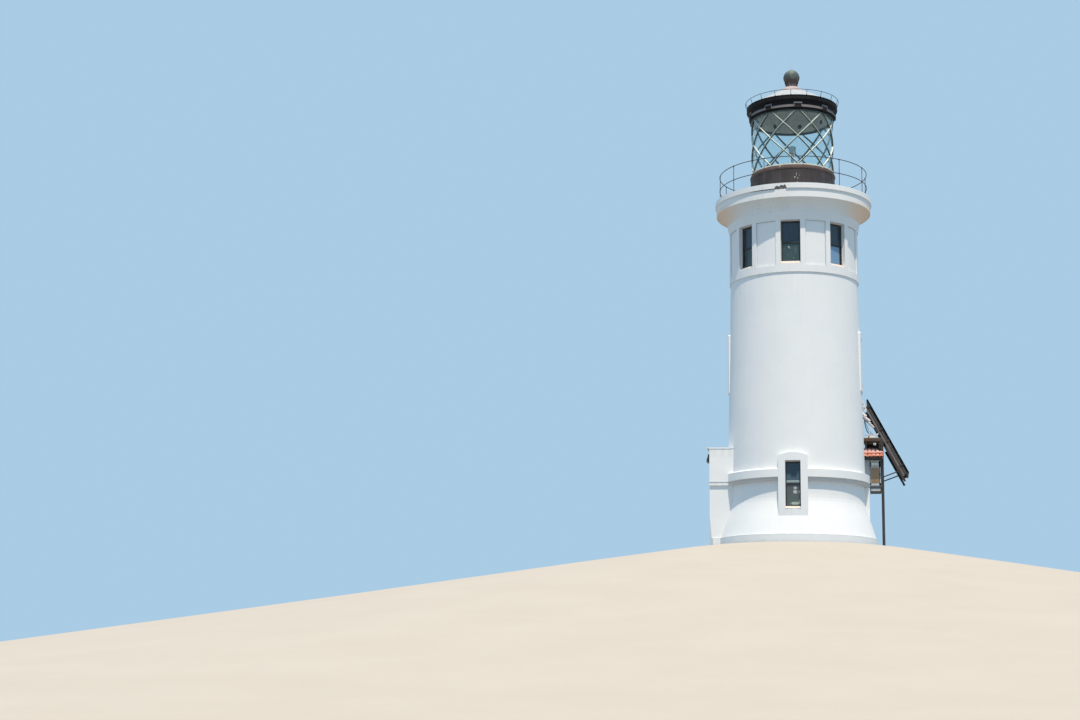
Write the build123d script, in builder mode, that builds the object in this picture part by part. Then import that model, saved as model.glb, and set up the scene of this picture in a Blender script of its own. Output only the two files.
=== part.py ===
from build123d import *
import math
import os

# A round masonry lighthouse: a tapering white shaft with a belt course and a small entrance
# portal, a watch room with eight windows, a coved gallery, a glazed lantern with a lattice of
# helical bars and a conical roof, and a steel rack with a solar array beside it.
# Millimetres. The origin is on the tower's axis at ground level, +Z is up. An angle phi is
# counted from the front (-Y) towards +X.

# Levels above the ground
floor_thickness = 100.0
plinth_height = 300.0
flare_top = 1620.0
belt_bottom = 2065.0
belt_fascia_bottom = 2180.0
belt_fascia_top = 2440.0
belt_top = 2500.0
watch_floor_top = 8550.0
watch_floor_thickness = 150.0
shaft_top = 9097.0
drum_flare_bottom = 10930.0
drum_top = 11156.0
fascia_bottom = 11568.0
slab_bottom = 11863.0
deck_level = 12040.0
lantern_base_top = 12936.0
lantern_sill_top = 13050.0
glazing_top = 15024.0
eave_level = 15508.0
roof_top = 16180.0

# Masonry radii
bore_r = 1830.0
plinth_r = 2690.0
lower_wall_r = 2280.0
flare_growths = (
    (0.08, 7.0),
    (0.16, 25.0),
    (0.24, 53.0),
    (0.32, 84.0),
    (0.40, 118.0),
    (0.50, 163.0),
    (0.60, 207.0),
    (0.70, 249.0),
    (0.80, 291.0),
    (0.90, 333.0),
    (1.0, 375.0),
)
belt_step_r = 2395.0
belt_fascia_r = 2455.0
shaft_low_r = 2300.0
shaft_top_r = 2175.0
drum_r = 2212.0
drum_head_r = 2265.0
drum_wall = 300.0
fascia_r = 2649.0
slab_r = 2693.0
cove_lip = 30.0
floor_fit = 0.3

# Shaft windows and their raised surrounds
shaft_window_width = 500.0
shaft_window_sill = 1141.0
shaft_window_head = 2716.0
surround_jamb_width = 230.0
surround_sill_height = 251.0
surround_head_height = 160.0
surround_arch_height = 107.0
surround_low_r = 2462.0
surround_mid_r = 2281.0
mid_window_rise = 4420.0
shaft_reveal_depth = 180.0

# Watch room windows and the sunk panels between them
watch_window_count = 8
watch_window_width = 663.0
watch_window_sill = 9385.0
watch_window_head = 10895.0
watch_sash_r = 2040.0
panel_arc = 18.9
panel_bottom = 9336.0
panel_top = 10886.0
panel_sink = 50.0

# Sashes
sash_depth = 60.0
sash_stile = 45.0
sash_rail = 60.0
meeting_rail = 45.0
pane_thickness = 6.0

# Portal block on the left side, with the closed entrance door
portal_end_x = -2850.0
portal_half_width = 965.0
portal_step_half_width = 1024.0
portal_upper_half_width = 1042.0
portal_top = 3318.0
portal_plinth = 40.0
passage_half_width = 550.0
passage_head = 2300.0
coping_thickness = 32.0
coping_lap = 15.0
coping_end_lap = 90.0
foot_chamfer = 90.0
foot_chamfer_height = 1050.0
door_setback = 250.0
door_thickness = 45.0
door_frame_width = 70.0
door_frame_depth = 100.0
door_inset = 45.0
door_clearance = 3.0
lamp_reach = 195.0
lamp_bottom = 2940.0
lamp_top = 3300.0
lamp_width = 150.0
lamp_plate = 18.0
lamp_plate_height = 210.0

# Shallow pier under the belt on the right side
pilaster_face = 2440.0
pilaster_half_width = 130.0

# Broken edge of the gallery slab
spall_phi = -6.1
spall_depth = 90.0

# Gallery railing
rail_r = 2537.0
rail_top = 13015.0
rail_mid = 12510.0
rail_tube_r = 13.0
rail_post_r = 11.0
rail_post_count = 12
rail_post_phase = 10.5
rail_foot_r = 45.0
rail_foot_height = 14.0

# Lantern
lantern_base_r = 1453.0
lantern_base_wall = 60.0
sill_flange_r = 1476.0
sill_flange_edge = 22.0
sill_top_r = 1440.0
lattice_outer_r = 1432.0
lattice_inner_r = 1385.0
lattice_bar = 52.0
lattice_rim = 48.0
lattice_bays = 9
lattice_phase = 10.5
lattice_rows = 4
glass_thickness = 8.0
cornice_inner_r = 1310.0
cornice_ring_r = 1464.0
cornice_ring_top = 15095.0
cornice_band_r = 1502.0
cornice_band_top = 15190.0
cornice_throat_r = 1490.0
cornice_cove_top = 15330.0
cornice_fascia_bottom = 15365.0
eave_r = 1575.0
vent_level = 15178.0
vent_width = 300.0
vent_height = 230.0
vent_reach = 1530.0
vent_root = 50.0
register_r = 62.0
register_level = 15260.0
register_depth = 16.0
roof_neck_r = 330.0
roof_plate = 18.0
roof_rail_r = 1622.0
roof_rail_level = 15686.0
roof_rail_tube_r = 9.0
roof_stay_r = 8.0
roof_rail_count = 18
roof_rail_phase = 1.5
roof_rail_foot_r = 1566.0

# Ball, its seat and the lightning rod
ball_r = 283.0
ball_centre = 16655.0
seat_flange_r = 345.0
seat_flange_height = 75.0
seat_neck_r = 205.0
rod_top = 17651.0
rod_base_r = 24.0
rod_tip_r = 7.0

# Small beacon in the lantern
beacon_post_r = 45.0
beacon_foot_r = 160.0
beacon_foot_height = 30.0
beacon_lens_bottom = 13861.0
beacon_lens_top = 14117.0
beacon_lens_r = 130.0

# Steel rack and its cabinet
rack_near_y = 900.0
rack_far_y = 2200.0
rack_inner_x = 2350.0
rack_outer_x = 2887.0
rack_post = 90.0
rack_beam_width = 60.0
rack_beam_height = 190.0
near_beam_height = 80.0
rack_deck_thickness = 40.0
rack_deck_top = 3889.0
rack_deck_lap = 20.0
rack_inner_lap = 40.0
rack_brace_width = 60.0
rack_brace_top = 4835.0
rack_brace_top_x = 2030.0
rack_brace_foot = 4030.0
cabinet_bottom = 2212.0
cabinet_top = 3123.0
cabinet_setback = 50.0
cabinet_inner_x = 2270.0
cabinet_depth = 560.0
tray_bottom = 2025.0
tray_inset = 185.0
tile_roof_low = 3130.0
tile_roof_high = 3480.0
tile_roof_thickness = 65.0
tile_roof_front = 600.0
tile_roof_depth = 550.0

# Solar array, in its own slope: down is along the slope, depth is square to it
array_top_x = 2430.0
array_top_z = 5233.0
array_slope = 62.2
array_near_y = 850.0
array_width = 1600.0
module_count = 4
module_length = 705.0
module_gap = 20.0
module_thickness = 45.0
purlin_height = 124.0
purlin_width = 60.0
purlin_downs = (215.0, 1100.0, 1560.0, 2500.0)
array_rail_start = 200.0
array_rail_thickness = 58.0
array_rail_width = 60.0
chord_thickness = 70.0
chord_down_start = 1740.0
chord_down_end = 3080.0
strut_r = 20.0
strut_foot_z = 2530.0
strut_head_down = 2680.0
bracket_width = 50.0
bracket_seat = 80.0
bracket_root_x = 1900.0
bracket_wall_top = 5300.0
bracket_wall_bottom = 4940.0
bracket_foot_x = 2270.0
bracket_foot_z = 4835.0

# Values that follow from the sizes above
drum_inner_r = drum_r - drum_wall
quarter_names = ("front", "right", "back", "left")
far_r = 3.0 * slab_r
surround_half_width = shaft_window_width / 2 + surround_jamb_width
surround_bottom = shaft_window_sill - surround_sill_height
surround_corner = shaft_window_head + surround_head_height
surround_apex = surround_corner + surround_arch_height
beam_top = rack_deck_top - rack_deck_thickness
side_beam_bottom = beam_top - rack_beam_height
mid_sill = shaft_window_sill + mid_window_rise
mid_head = shaft_window_head + mid_window_rise

os.makedirs("parts", exist_ok=True)


def radial_plane(phi, distance=0.0):
    """Plane that faces outward at phi: its x runs to the right, its y is the height."""
    a = math.radians(phi)
    outward = Vector(math.sin(a), -math.cos(a), 0)
    right = Vector(math.cos(a), math.sin(a), 0)
    return Plane(origin=outward * distance, x_dir=right, z_dir=outward)


def section_plane(phi):
    """Upright plane through the axis at phi: its x is the radius, its y is the height."""
    a = math.radians(phi)
    return Plane(
        origin=(0, 0, 0),
        x_dir=(math.sin(a), -math.cos(a), 0),
        z_dir=(-math.cos(a), -math.sin(a), 0),
    )


def turned(points, phi_start=0.0, arc=360.0, mode=Mode.ADD):
    """Revolve a closed outline of radius and height about the tower's axis."""
    with BuildSketch(section_plane(phi_start)) as outline:
        with BuildLine():
            Polyline(*points, close=True)
        make_face()
    revolve(outline.sketch, axis=Axis.Z, revolution_arc=arc, mode=mode)


def radial_prism(points, phi, from_r, to_r, mode=Mode.ADD):
    """Extrude a closed outline of offset and height outward between two distances."""
    with BuildSketch(radial_plane(phi, from_r)) as outline:
        with BuildLine():
            Polyline(*points, close=True)
        make_face()
    extrude(outline.sketch, amount=to_r - from_r, mode=mode)


def rectangle_points(half_width, bottom, top):
    """Corners of an upright rectangle about the middle."""
    return [(-half_width, bottom), (half_width, bottom), (half_width, top), (-half_width, top)]


def block(x_range, y_range, z_range, mode=Mode.ADD):
    """Square block between two values along each axis."""
    with BuildSketch(Plane.XY.offset(z_range[0])) as outline:
        with BuildLine():
            Polyline(
                (x_range[0], y_range[0]),
                (x_range[1], y_range[0]),
                (x_range[1], y_range[1]),
                (x_range[0], y_range[1]),
                close=True,
            )
        make_face()
    extrude(outline.sketch, amount=z_range[1] - z_range[0], mode=mode)


def surround_prism(phi, rise, to_r, mode=Mode.ADD):
    """Window surround's outline, with its low arched head, extruded outward from the bore."""
    bottom = surround_bottom + rise
    corner = surround_corner + rise
    apex = surround_apex + rise
    half = surround_half_width
    with BuildSketch(radial_plane(phi, bore_r)) as outline:
        with BuildLine():
            Polyline((-half, corner), (-half, bottom), (half, bottom), (half, corner))
            ThreePointArc((half, corner), (0, apex), (-half, corner))
        make_face()
    extrude(outline.sketch, amount=to_r - bore_r, mode=mode)


def sash_lights(width, sill, head):
    """The two panes of a sash window, as half width, bottom and top."""
    middle = (sill + head) / 2
    half = width / 2 - sash_stile
    lower = (half, sill + sash_rail, middle - meeting_rail / 2)
    upper = (half, middle + meeting_rail / 2, head - sash_rail)
    return lower, upper


# Tower shaft in four upright segments, with the windows and the entrance passage cut through
flare_height = flare_top - plinth_height
flare_outline = [
    (lower_wall_r + growth, flare_top - share * flare_height) for share, growth in flare_growths
]
shaft_outline = [
    (plinth_r, 0),
    (plinth_r, plinth_height),
    *reversed(flare_outline),
    (lower_wall_r, flare_top),
    (lower_wall_r, belt_top),
    (shaft_low_r, belt_top),
    (shaft_top_r, shaft_top),
]
for index, name in enumerate(quarter_names):
    phi = 90.0 * index
    with BuildPart() as shaft_wall:
        turned([(bore_r, 0), *shaft_outline, (bore_r, shaft_top)], phi - 45.0, 90.0)
        if name in ("front", "back"):
            opening = rectangle_points(shaft_window_width / 2, shaft_window_sill, shaft_window_head)
        else:
            opening = rectangle_points(shaft_window_width / 2, mid_sill, mid_head)
        radial_prism(opening, phi, bore_r / 2, far_r, mode=Mode.SUBTRACT)
        if name == "left":
            doorway = rectangle_points(passage_half_width, floor_thickness, passage_head)
            radial_prism(doorway, phi, bore_r / 2, far_r, mode=Mode.SUBTRACT)
    shaft_wall.part.label = f"shaft_wall_{name}"
    export_step(shaft_wall.part, f"parts/shaft_wall_{name}.step")

# The tower's outer form as one mass, used to fit what stands against it
with BuildPart() as tower_mass:
    turned([(0, 0), *shaft_outline, (0, shaft_top)])

# Ground floor inside the tower, and the floor of the entrance passage
with BuildPart() as ground_floor:
    with BuildSketch(Plane.XY):
        Circle(bore_r - floor_fit)
    extrude(amount=floor_thickness)
    block((portal_end_x, -bore_r), (-passage_half_width, passage_half_width), (0, floor_thickness))
    turned([(bore_r - floor_fit, 0), *shaft_outline, (bore_r - floor_fit, shaft_top)], mode=Mode.SUBTRACT)
ground_floor.part.label = "ground_floor"
export_step(ground_floor.part, "parts/ground_floor.step")

# Raised window surrounds with arched heads: low ones front and back, high ones left and right
window_places = [
    (0.0, 0.0, surround_low_r),
    (180.0, 0.0, surround_low_r),
    (90.0, mid_window_rise, surround_mid_r),
    (270.0, mid_window_rise, surround_mid_r),
]
with BuildPart() as window_surrounds:
    for phi, rise, face_r in window_places:
        surround_prism(phi, rise, face_r + surround_half_width)
        turned(
            [
                (face_r, surround_bottom + rise - plinth_height),
                (far_r, surround_bottom + rise - plinth_height),
                (far_r, surround_apex + rise + plinth_height),
                (face_r, surround_apex + rise + plinth_height),
            ],
            phi - 45.0,
            90.0,
            mode=Mode.SUBTRACT,
        )
        light = rectangle_points(
            shaft_window_width / 2, shaft_window_sill + rise, shaft_window_head + rise
        )
        radial_prism(light, phi, bore_r / 2, far_r, mode=Mode.SUBTRACT)
    add(tower_mass.part, mode=Mode.SUBTRACT)
window_surrounds.part.label = "window_surrounds"
export_step(window_surrounds.part, "parts/window_surrounds.step")

# Belt course round the tower, stopped by the low surrounds and the portal
with BuildPart() as belt_course:
    turned(
        [
            (lower_wall_r, belt_bottom),
            (belt_step_r, belt_bottom),
            (belt_step_r, belt_fascia_bottom),
            (belt_fascia_r, belt_fascia_bottom),
            (belt_fascia_r, belt_fascia_top),
            (shaft_low_r, belt_top),
            (lower_wall_r, belt_top),
        ]
    )
    surround_prism(0.0, 0.0, far_r, mode=Mode.SUBTRACT)
    surround_prism(180.0, 0.0, far_r, mode=Mode.SUBTRACT)
    portal_band = [portal_half_width, portal_step_half_width, portal_upper_half_width]
    portal_levels = [0, belt_bottom, belt_fascia_bottom, belt_top]
    for half, low, high in zip(portal_band, portal_levels, portal_levels[1:]):
        block((-far_r, 0), (-half, half), (low, high), mode=Mode.SUBTRACT)
belt_course.part.label = "belt_course"
export_step(belt_course.part, "parts/belt_course.step")

# Shallow pier under the belt on the right side
with BuildPart() as base_pilaster:
    block((0, pilaster_face), (-pilaster_half_width, pilaster_half_width), (0, belt_bottom))
    add(tower_mass.part, mode=Mode.SUBTRACT)
base_pilaster.part.label = "base_pilaster"
export_step(base_pilaster.part, "parts/base_pilaster.step")

# Portal: two stepped piers, the mass over the doorway, and a thin coping
portal_profile = [
    (passage_half_width, 0),
    (portal_half_width + portal_plinth, 0),
    (portal_half_width + portal_plinth, plinth_height),
    (portal_half_width, plinth_height),
    (portal_half_width, belt_bottom),
    (portal_step_half_width, belt_bottom),
    (portal_step_half_width, belt_fascia_bottom),
    (portal_upper_half_width, belt_fascia_bottom),
    (portal_upper_half_width, portal_top),
    (passage_half_width, portal_top),
]
portal_end_plane = Plane(origin=(portal_end_x, 0, 0), x_dir=(0, 1, 0), z_dir=(1, 0, 0))
for name, side in (("front", -1), ("back", 1)):
    with BuildPart() as portal_pier:
        with BuildSketch(portal_end_plane):
            with BuildLine():
                Polyline(*[(side * across, up) for across, up in portal_profile], close=True)
            make_face()
        extrude(amount=-portal_end_x)
        add(tower_mass.part, mode=Mode.SUBTRACT)
        outer_y = side * (portal_half_width + portal_plinth)
        foot = foot_chamfer + portal_plinth
        with BuildSketch(Plane.XY):
            with BuildLine():
                Polyline(
                    (portal_end_x, outer_y),
                    (portal_end_x + foot, outer_y),
                    (portal_end_x, outer_y - side * foot),
                    close=True,
                )
            make_face()
        with BuildSketch(Plane.XY.offset(foot_chamfer_height)):
            with BuildLine():
                Polyline(
                    (portal_end_x, outer_y),
                    (portal_end_x + portal_plinth, outer_y),
                    (portal_end_x, outer_y - side * portal_plinth),
                    close=True,
                )
            make_face()
        loft(mode=Mode.SUBTRACT)
    portal_pier.part.label = f"portal_{name}_pier"
    export_step(portal_pier.part, f"parts/portal_{name}_pier.step")

with BuildPart() as portal_lintel:
    block((portal_end_x, 0), (-passage_half_width, passage_half_width), (passage_head, portal_top))
    add(tower_mass.part, mode=Mode.SUBTRACT)
portal_lintel.part.label = "portal_lintel"
export_step(portal_lintel.part, "parts/portal_lintel.step")

coping_half_width = portal_upper_half_width + coping_lap
with BuildPart() as portal_coping:
    block(
        (portal_end_x - coping_end_lap, 0),
        (-coping_half_width, coping_half_width),
        (portal_top, portal_top + coping_thickness),
    )
    add(tower_mass.part, mode=Mode.SUBTRACT)
portal_coping.part.label = "portal_coping"
export_step(portal_coping.part, "parts/portal_coping.step")

# Door frame and the closed entrance door in the portal
door_face_x = portal_end_x + door_setback
door_half_width = passage_half_width - door_frame_width
door_head = passage_head - door_frame_width
with BuildPart() as door_frame:
    frame_x = (door_face_x, door_face_x + door_frame_depth)
    block(frame_x, (-passage_half_width, passage_half_width), (floor_thickness, passage_head))
    block(frame_x, (-door_half_width, door_half_width), (0, door_head), mode=Mode.SUBTRACT)
door_frame.part.label = "door_frame"
export_step(door_frame.part, "parts/door_frame.step")

door_edge = door_half_width - door_clearance
with BuildPart() as entrance_door:
    door_x = (door_face_x + door_inset, door_face_x + door_inset + door_thickness)
    block(door_x, (-door_edge, door_edge), (floor_thickness, door_head - door_clearance))
entrance_door.part.label = "entrance_door"
export_step(entrance_door.part, "parts/entrance_door.step")

# Lamp over the entrance: a plate, an arm and a drum-shaped head
with BuildPart() as entrance_lamp:
    block(
        (portal_end_x - lamp_plate, portal_end_x),
        (-lamp_width / 2, lamp_width / 2),
        (lamp_top - lamp_plate_height, lamp_top),
    )
    block(
        (portal_end_x - lamp_reach / 2, portal_end_x - lamp_plate),
        (-lamp_plate, lamp_plate),
        (lamp_top - 3 * lamp_plate, lamp_top - lamp_plate),
    )
    lamp_axis_x = portal_end_x - lamp_reach + lamp_width / 2
    with Locations((lamp_axis_x, 0, lamp_bottom)):
        Cylinder(
            radius=lamp_width / 2,
            height=lamp_top - lamp_bottom - lamp_plate,
            align=(Align.CENTER, Align.CENTER, Align.MIN),
        )
entrance_lamp.part.label = "entrance_lamp"
export_step(entrance_lamp.part, "parts/entrance_lamp.step")

# Watch room floor
with BuildPart() as watch_room_floor:
    with BuildSketch(Plane.XY.offset(watch_floor_top - watch_floor_thickness)):
        Circle(bore_r - floor_fit)
    extrude(amount=watch_floor_thickness)
watch_room_floor.part.label = "watch_room_floor"
export_step(watch_room_floor.part, "parts/watch_room_floor.step")

# Watch room wall in four segments, each with two windows and two sunk panels
window_step = 360.0 / watch_window_count
windows_each = watch_window_count // len(quarter_names)
for index, name in enumerate(quarter_names):
    seam = 90.0 * index + window_step / 4
    with BuildPart() as watch_wall:
        turned(
            [
                (drum_inner_r, shaft_top),
                (drum_r, shaft_top),
                (drum_r, drum_flare_bottom),
                (drum_head_r, drum_top),
                (drum_inner_r, drum_top),
            ],
            seam,
            90.0,
        )
        for step in range(windows_each):
            window_phi = 90.0 * index + (step + 1) * window_step
            light = rectangle_points(watch_window_width / 2, watch_window_sill, watch_window_head)
            radial_prism(light, window_phi, bore_r / 2, far_r, mode=Mode.SUBTRACT)
            panel_phi = window_phi - window_step / 2
            turned(
                [
                    (drum_r - panel_sink, panel_bottom),
                    (slab_r, panel_bottom),
                    (slab_r, panel_top),
                    (drum_r - panel_sink, panel_top),
                ],
                panel_phi - panel_arc / 2,
                panel_arc,
                mode=Mode.SUBTRACT,
            )
    watch_wall.part.label = f"watch_room_wall_{name}"
    export_step(watch_wall.part, f"parts/watch_room_wall_{name}.step")

# Sash frames and panes of every window
sash_places = []
for phi, rise, face_r in window_places:
    sash_places.append(
        (phi, face_r - shaft_reveal_depth, shaft_window_width, shaft_window_sill + rise, shaft_window_head + rise)
    )
for step in range(watch_window_count):
    sash_places.append(
        (step * window_step, watch_sash_r, watch_window_width, watch_window_sill, watch_window_head)
    )
with BuildPart() as window_sashes:
    for phi, face_r, width, sill, head in sash_places:
        radial_prism(rectangle_points(width / 2, sill, head), phi, face_r - sash_depth, face_r)
        for light in sash_lights(width, sill, head):
            radial_prism(rectangle_points(*light), phi, face_r - sash_depth, face_r, mode=Mode.SUBTRACT)
window_sashes.part.label = "window_sashes"
export_step(window_sashes.part, "parts/window_sashes.step")

with BuildPart() as window_glass:
    for phi, face_r, width, sill, head in sash_places:
        pane_r = face_r - sash_depth / 2
        for light in sash_lights(width, sill, head):
            radial_prism(rectangle_points(*light), phi, pane_r - pane_thickness, pane_r)
window_glass.part.label = "window_glass"
export_step(window_glass.part, "parts/window_glass.step")

# Coved cornice under the gallery
cove_end_r = fascia_r - cove_lip
with BuildPart() as gallery_cornice:
    cove_width = cove_end_r - drum_head_r
    cove_height = fascia_bottom - drum_top
    cove_middle = (
        cove_end_r - cove_width * math.cos(math.radians(45)),
        drum_top + cove_height * math.sin(math.radians(45)),
    )
    with BuildSketch(section_plane(0)):
        with BuildLine():
            Polyline(
                (cove_end_r, fascia_bottom),
                (fascia_r, fascia_bottom),
                (fascia_r, slab_bottom),
                (drum_inner_r, slab_bottom),
                (drum_inner_r, drum_top),
                (drum_head_r, drum_top),
            )
            ThreePointArc((drum_head_r, drum_top), cove_middle, (cove_end_r, fascia_bottom))
        make_face()
    revolve(axis=Axis.Z)
gallery_cornice.part.label = "gallery_cornice"
export_step(gallery_cornice.part, "parts/gallery_cornice.step")

# Gallery slab, which is also the lantern's floor, with a broken piece of its edge gone
with BuildPart() as gallery_deck:
    with BuildSketch(Plane.XY.offset(slab_bottom)):
        Circle(slab_r)
    extrude(amount=deck_level - slab_bottom)
    spall = [
        (-215, 0),
        (-180, 75),
        (-120, 92),
        (-60, 58),
        (10, 112),
        (80, 84),
        (150, 124),
        (205, 0),
    ]
    spall_outline = [(across, slab_bottom + up) for across, up in spall]
    radial_prism(spall_outline, spall_phi, slab_r - spall_depth, far_r, mode=Mode.SUBTRACT)
gallery_deck.part.label = "gallery_deck"
export_step(gallery_deck.part, "parts/gallery_deck.step")

# Gallery railing: a top rail and a middle rail, and the posts on round feet that carry them
post_turn = 360.0 / rail_post_count
rail_centre = rail_top - rail_tube_r
for name, level in (("top", rail_centre), ("middle", rail_mid)):
    with BuildPart() as gallery_rail:
        with Locations((0, 0, level)):
            Torus(major_radius=rail_r, minor_radius=rail_tube_r)
    gallery_rail.part.label = f"gallery_rail_{name}"
    export_step(gallery_rail.part, f"parts/gallery_rail_{name}.step")

with BuildPart() as gallery_posts:
    for step in range(rail_post_count):
        a = math.radians(rail_post_phase + step * post_turn - 90.0)
        foot = (rail_r * math.cos(a), rail_r * math.sin(a))
        with BuildSketch(Plane.XY.offset(deck_level)):
            with Locations(foot):
                Circle(rail_foot_r)
        extrude(amount=rail_foot_height)
        with BuildSketch(Plane.XY.offset(deck_level)):
            with Locations(foot):
                Circle(rail_post_r)
        extrude(amount=rail_centre - deck_level)
    for level in (rail_mid, rail_centre):
        with Locations((0, 0, level)):
            Torus(major_radius=rail_r, minor_radius=rail_tube_r, mode=Mode.SUBTRACT)
gallery_posts.part.label = "gallery_posts"
export_step(gallery_posts.part, "parts/gallery_posts.step")

# Lantern base wall and its sloped sill
with BuildPart() as lantern_base:
    turned(
        [
            (lantern_base_r - lantern_base_wall, deck_level),
            (lantern_base_r, deck_level),
            (lantern_base_r, lantern_base_top),
            (lantern_base_r - lantern_base_wall, lantern_base_top),
        ]
    )
lantern_base.part.label = "lantern_base"
export_step(lantern_base.part, "parts/lantern_base.step")

glass_outer_r = lattice_inner_r - floor_fit
glass_inner_r = glass_outer_r - glass_thickness
with BuildPart() as lantern_sill:
    turned(
        [
            (glass_inner_r - glass_thickness, lantern_base_top),
            (sill_flange_r, lantern_base_top),
            (sill_flange_r, lantern_base_top + sill_flange_edge),
            (sill_top_r, lantern_sill_top),
            (glass_inner_r - glass_thickness, lantern_sill_top),
        ]
    )
lantern_sill.part.label = "lantern_sill"
export_step(lantern_sill.part, "parts/lantern_sill.step")

# Lantern lattice: a ring cut by diamonds and half diamonds, which leaves two sets of helical bars
row_height = (glazing_top - lantern_sill_top) / lattice_rows
bay_turn = 360.0 / lattice_bays
lattice_r = (lattice_outer_r + lattice_inner_r) / 2
half_across = lattice_r * math.sin(math.radians(bay_turn / 2))
bar_length = math.hypot(half_across, row_height)
diamond_share = 1 - (lattice_bar / 2) * bar_length / (half_across * row_height)
bar_rise = (lattice_bar / 2) * bar_length / half_across
half_diamond_base = half_across * (1 - (lattice_rim + bar_rise) / row_height)
with BuildPart() as lantern_lattice:
    turned(
        [
            (lattice_inner_r, lantern_sill_top),
            (lattice_outer_r, lantern_sill_top),
            (lattice_outer_r, glazing_top),
            (lattice_inner_r, glazing_top),
        ]
    )
    for bay in range(lattice_bays):
        for row in range(1, lattice_rows):
            middle = lantern_sill_top + row * row_height
            phi = lattice_phase + (bay + (row + 1) % 2 / 2) * bay_turn
            diamond = [
                (0, middle - row_height * diamond_share),
                (half_across * diamond_share, middle),
                (0, middle + row_height * diamond_share),
                (-half_across * diamond_share, middle),
            ]
            radial_prism(diamond, phi, bore_r / 2, bore_r, mode=Mode.SUBTRACT)
        phi = lattice_phase + (bay + 0.5) * bay_turn
        for edge, way in ((lantern_sill_top, 1), (glazing_top, -1)):
            half_diamond = [
                (-half_diamond_base, edge + way * lattice_rim),
                (half_diamond_base, edge + way * lattice_rim),
                (0, edge + way * (row_height - bar_rise)),
            ]
            radial_prism(half_diamond, phi, bore_r / 2, bore_r, mode=Mode.SUBTRACT)
lantern_lattice.part.label = "lantern_lattice"
export_step(lantern_lattice.part, "parts/lantern_lattice.step")

# Cylinder of glass behind the lattice
with BuildPart() as lantern_glass:
    turned(
        [
            (glass_inner_r, lantern_sill_top),
            (glass_outer_r, lantern_sill_top),
            (glass_outer_r, glazing_top),
            (glass_inner_r, glazing_top),
        ]
    )
lantern_glass.part.label = "lantern_glass"
export_step(lantern_glass.part, "parts/lantern_glass.step")

# Stepped metal cornice of the lantern
with BuildPart() as lantern_cornice:
    turned(
        [
            (cornice_inner_r, glazing_top),
            (cornice_ring_r, glazing_top),
            (cornice_ring_r, cornice_ring_top),
            (cornice_band_r, cornice_ring_top),
            (cornice_band_r, cornice_band_top),
            (cornice_throat_r, cornice_band_top),
            (cornice_throat_r, cornice_cove_top),
            (eave_r, cornice_fascia_bottom),
            (eave_r, eave_level),
            (cornice_inner_r, eave_level),
        ]
    )
lantern_cornice.part.label = "lantern_cornice"
export_step(lantern_cornice.part, "parts/lantern_cornice.step")

# Ventilators in the cornice: a hood outside and a round register inside, one to a bay
with BuildPart() as cornice_ventilators:
    for bay in range(lattice_bays):
        phi = lattice_phase + bay * bay_turn
        hood = rectangle_points(vent_width / 2, vent_level - vent_height / 2, vent_level + vent_height / 2)
        radial_prism(hood, phi, cornice_ring_r - vent_root, vent_reach)
        with BuildSketch(radial_plane(phi, cornice_inner_r - register_depth)):
            with Locations((0, register_level)):
                Circle(register_r)
        extrude(amount=vent_root)
    add(lantern_cornice.part, mode=Mode.SUBTRACT)
cornice_ventilators.part.label = "cornice_ventilators"
export_step(cornice_ventilators.part, "parts/cornice_ventilators.step")

# Conical roof plates, standing on the cornice
roof_slope = math.atan2(roof_top - eave_level, eave_r - roof_neck_r)
roof_foot_r = eave_r - roof_plate / math.sin(roof_slope)
with BuildPart() as lantern_roof:
    turned(
        [
            (eave_r, eave_level),
            (roof_neck_r, roof_top),
            (roof_neck_r, roof_top - roof_plate / math.cos(roof_slope)),
            (roof_foot_r, eave_level),
        ]
    )
lantern_roof.part.label = "lantern_roof"
export_step(lantern_roof.part, "parts/lantern_roof.step")

# Low rail round the eave, and the leaning stays that carry it
with BuildPart() as roof_rail:
    with Locations((0, 0, roof_rail_level)):
        Torus(major_radius=roof_rail_r, minor_radius=roof_rail_tube_r)
roof_rail.part.label = "roof_rail"
export_step(roof_rail.part, "parts/roof_rail.step")

with BuildPart() as roof_rail_stays:
    for step in range(roof_rail_count):
        a = math.radians(roof_rail_phase + step * 360.0 / roof_rail_count - 90.0)
        low = Vector(roof_rail_foot_r * math.cos(a), roof_rail_foot_r * math.sin(a), eave_level)
        high = Vector(roof_rail_r * math.cos(a), roof_rail_r * math.sin(a), roof_rail_level)
        with BuildSketch(Plane(origin=low, z_dir=high - low)):
            Circle(roof_stay_r)
        extrude(amount=(high - low).length)
    add(roof_rail.part, mode=Mode.SUBTRACT)
    turned(
        [
            (roof_neck_r, 0),
            (eave_r, 0),
            (eave_r, eave_level),
            (roof_neck_r, roof_top),
        ],
        mode=Mode.SUBTRACT,
    )
roof_rail_stays.part.label = "roof_rail_stays"
export_step(roof_rail_stays.part, "parts/roof_rail_stays.step")

# Seat of the ball, the ball and the lightning rod
with BuildPart() as ball_seat:
    turned(
        [
            (0, roof_top),
            (seat_flange_r, roof_top),
            (seat_flange_r - seat_flange_height / 2, roof_top + seat_flange_height),
            (seat_neck_r, roof_top + seat_flange_height),
            (seat_neck_r, ball_centre),
            (0, ball_centre),
        ]
    )
    with Locations((0, 0, ball_centre)):
        Sphere(ball_r, mode=Mode.SUBTRACT)
ball_seat.part.label = "ball_seat"
export_step(ball_seat.part, "parts/ball_seat.step")

with BuildPart() as ball_vent:
    with Locations((0, 0, ball_centre)):
        Sphere(ball_r)
ball_vent.part.label = "ball_vent"
export_step(ball_vent.part, "parts/ball_vent.step")

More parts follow.
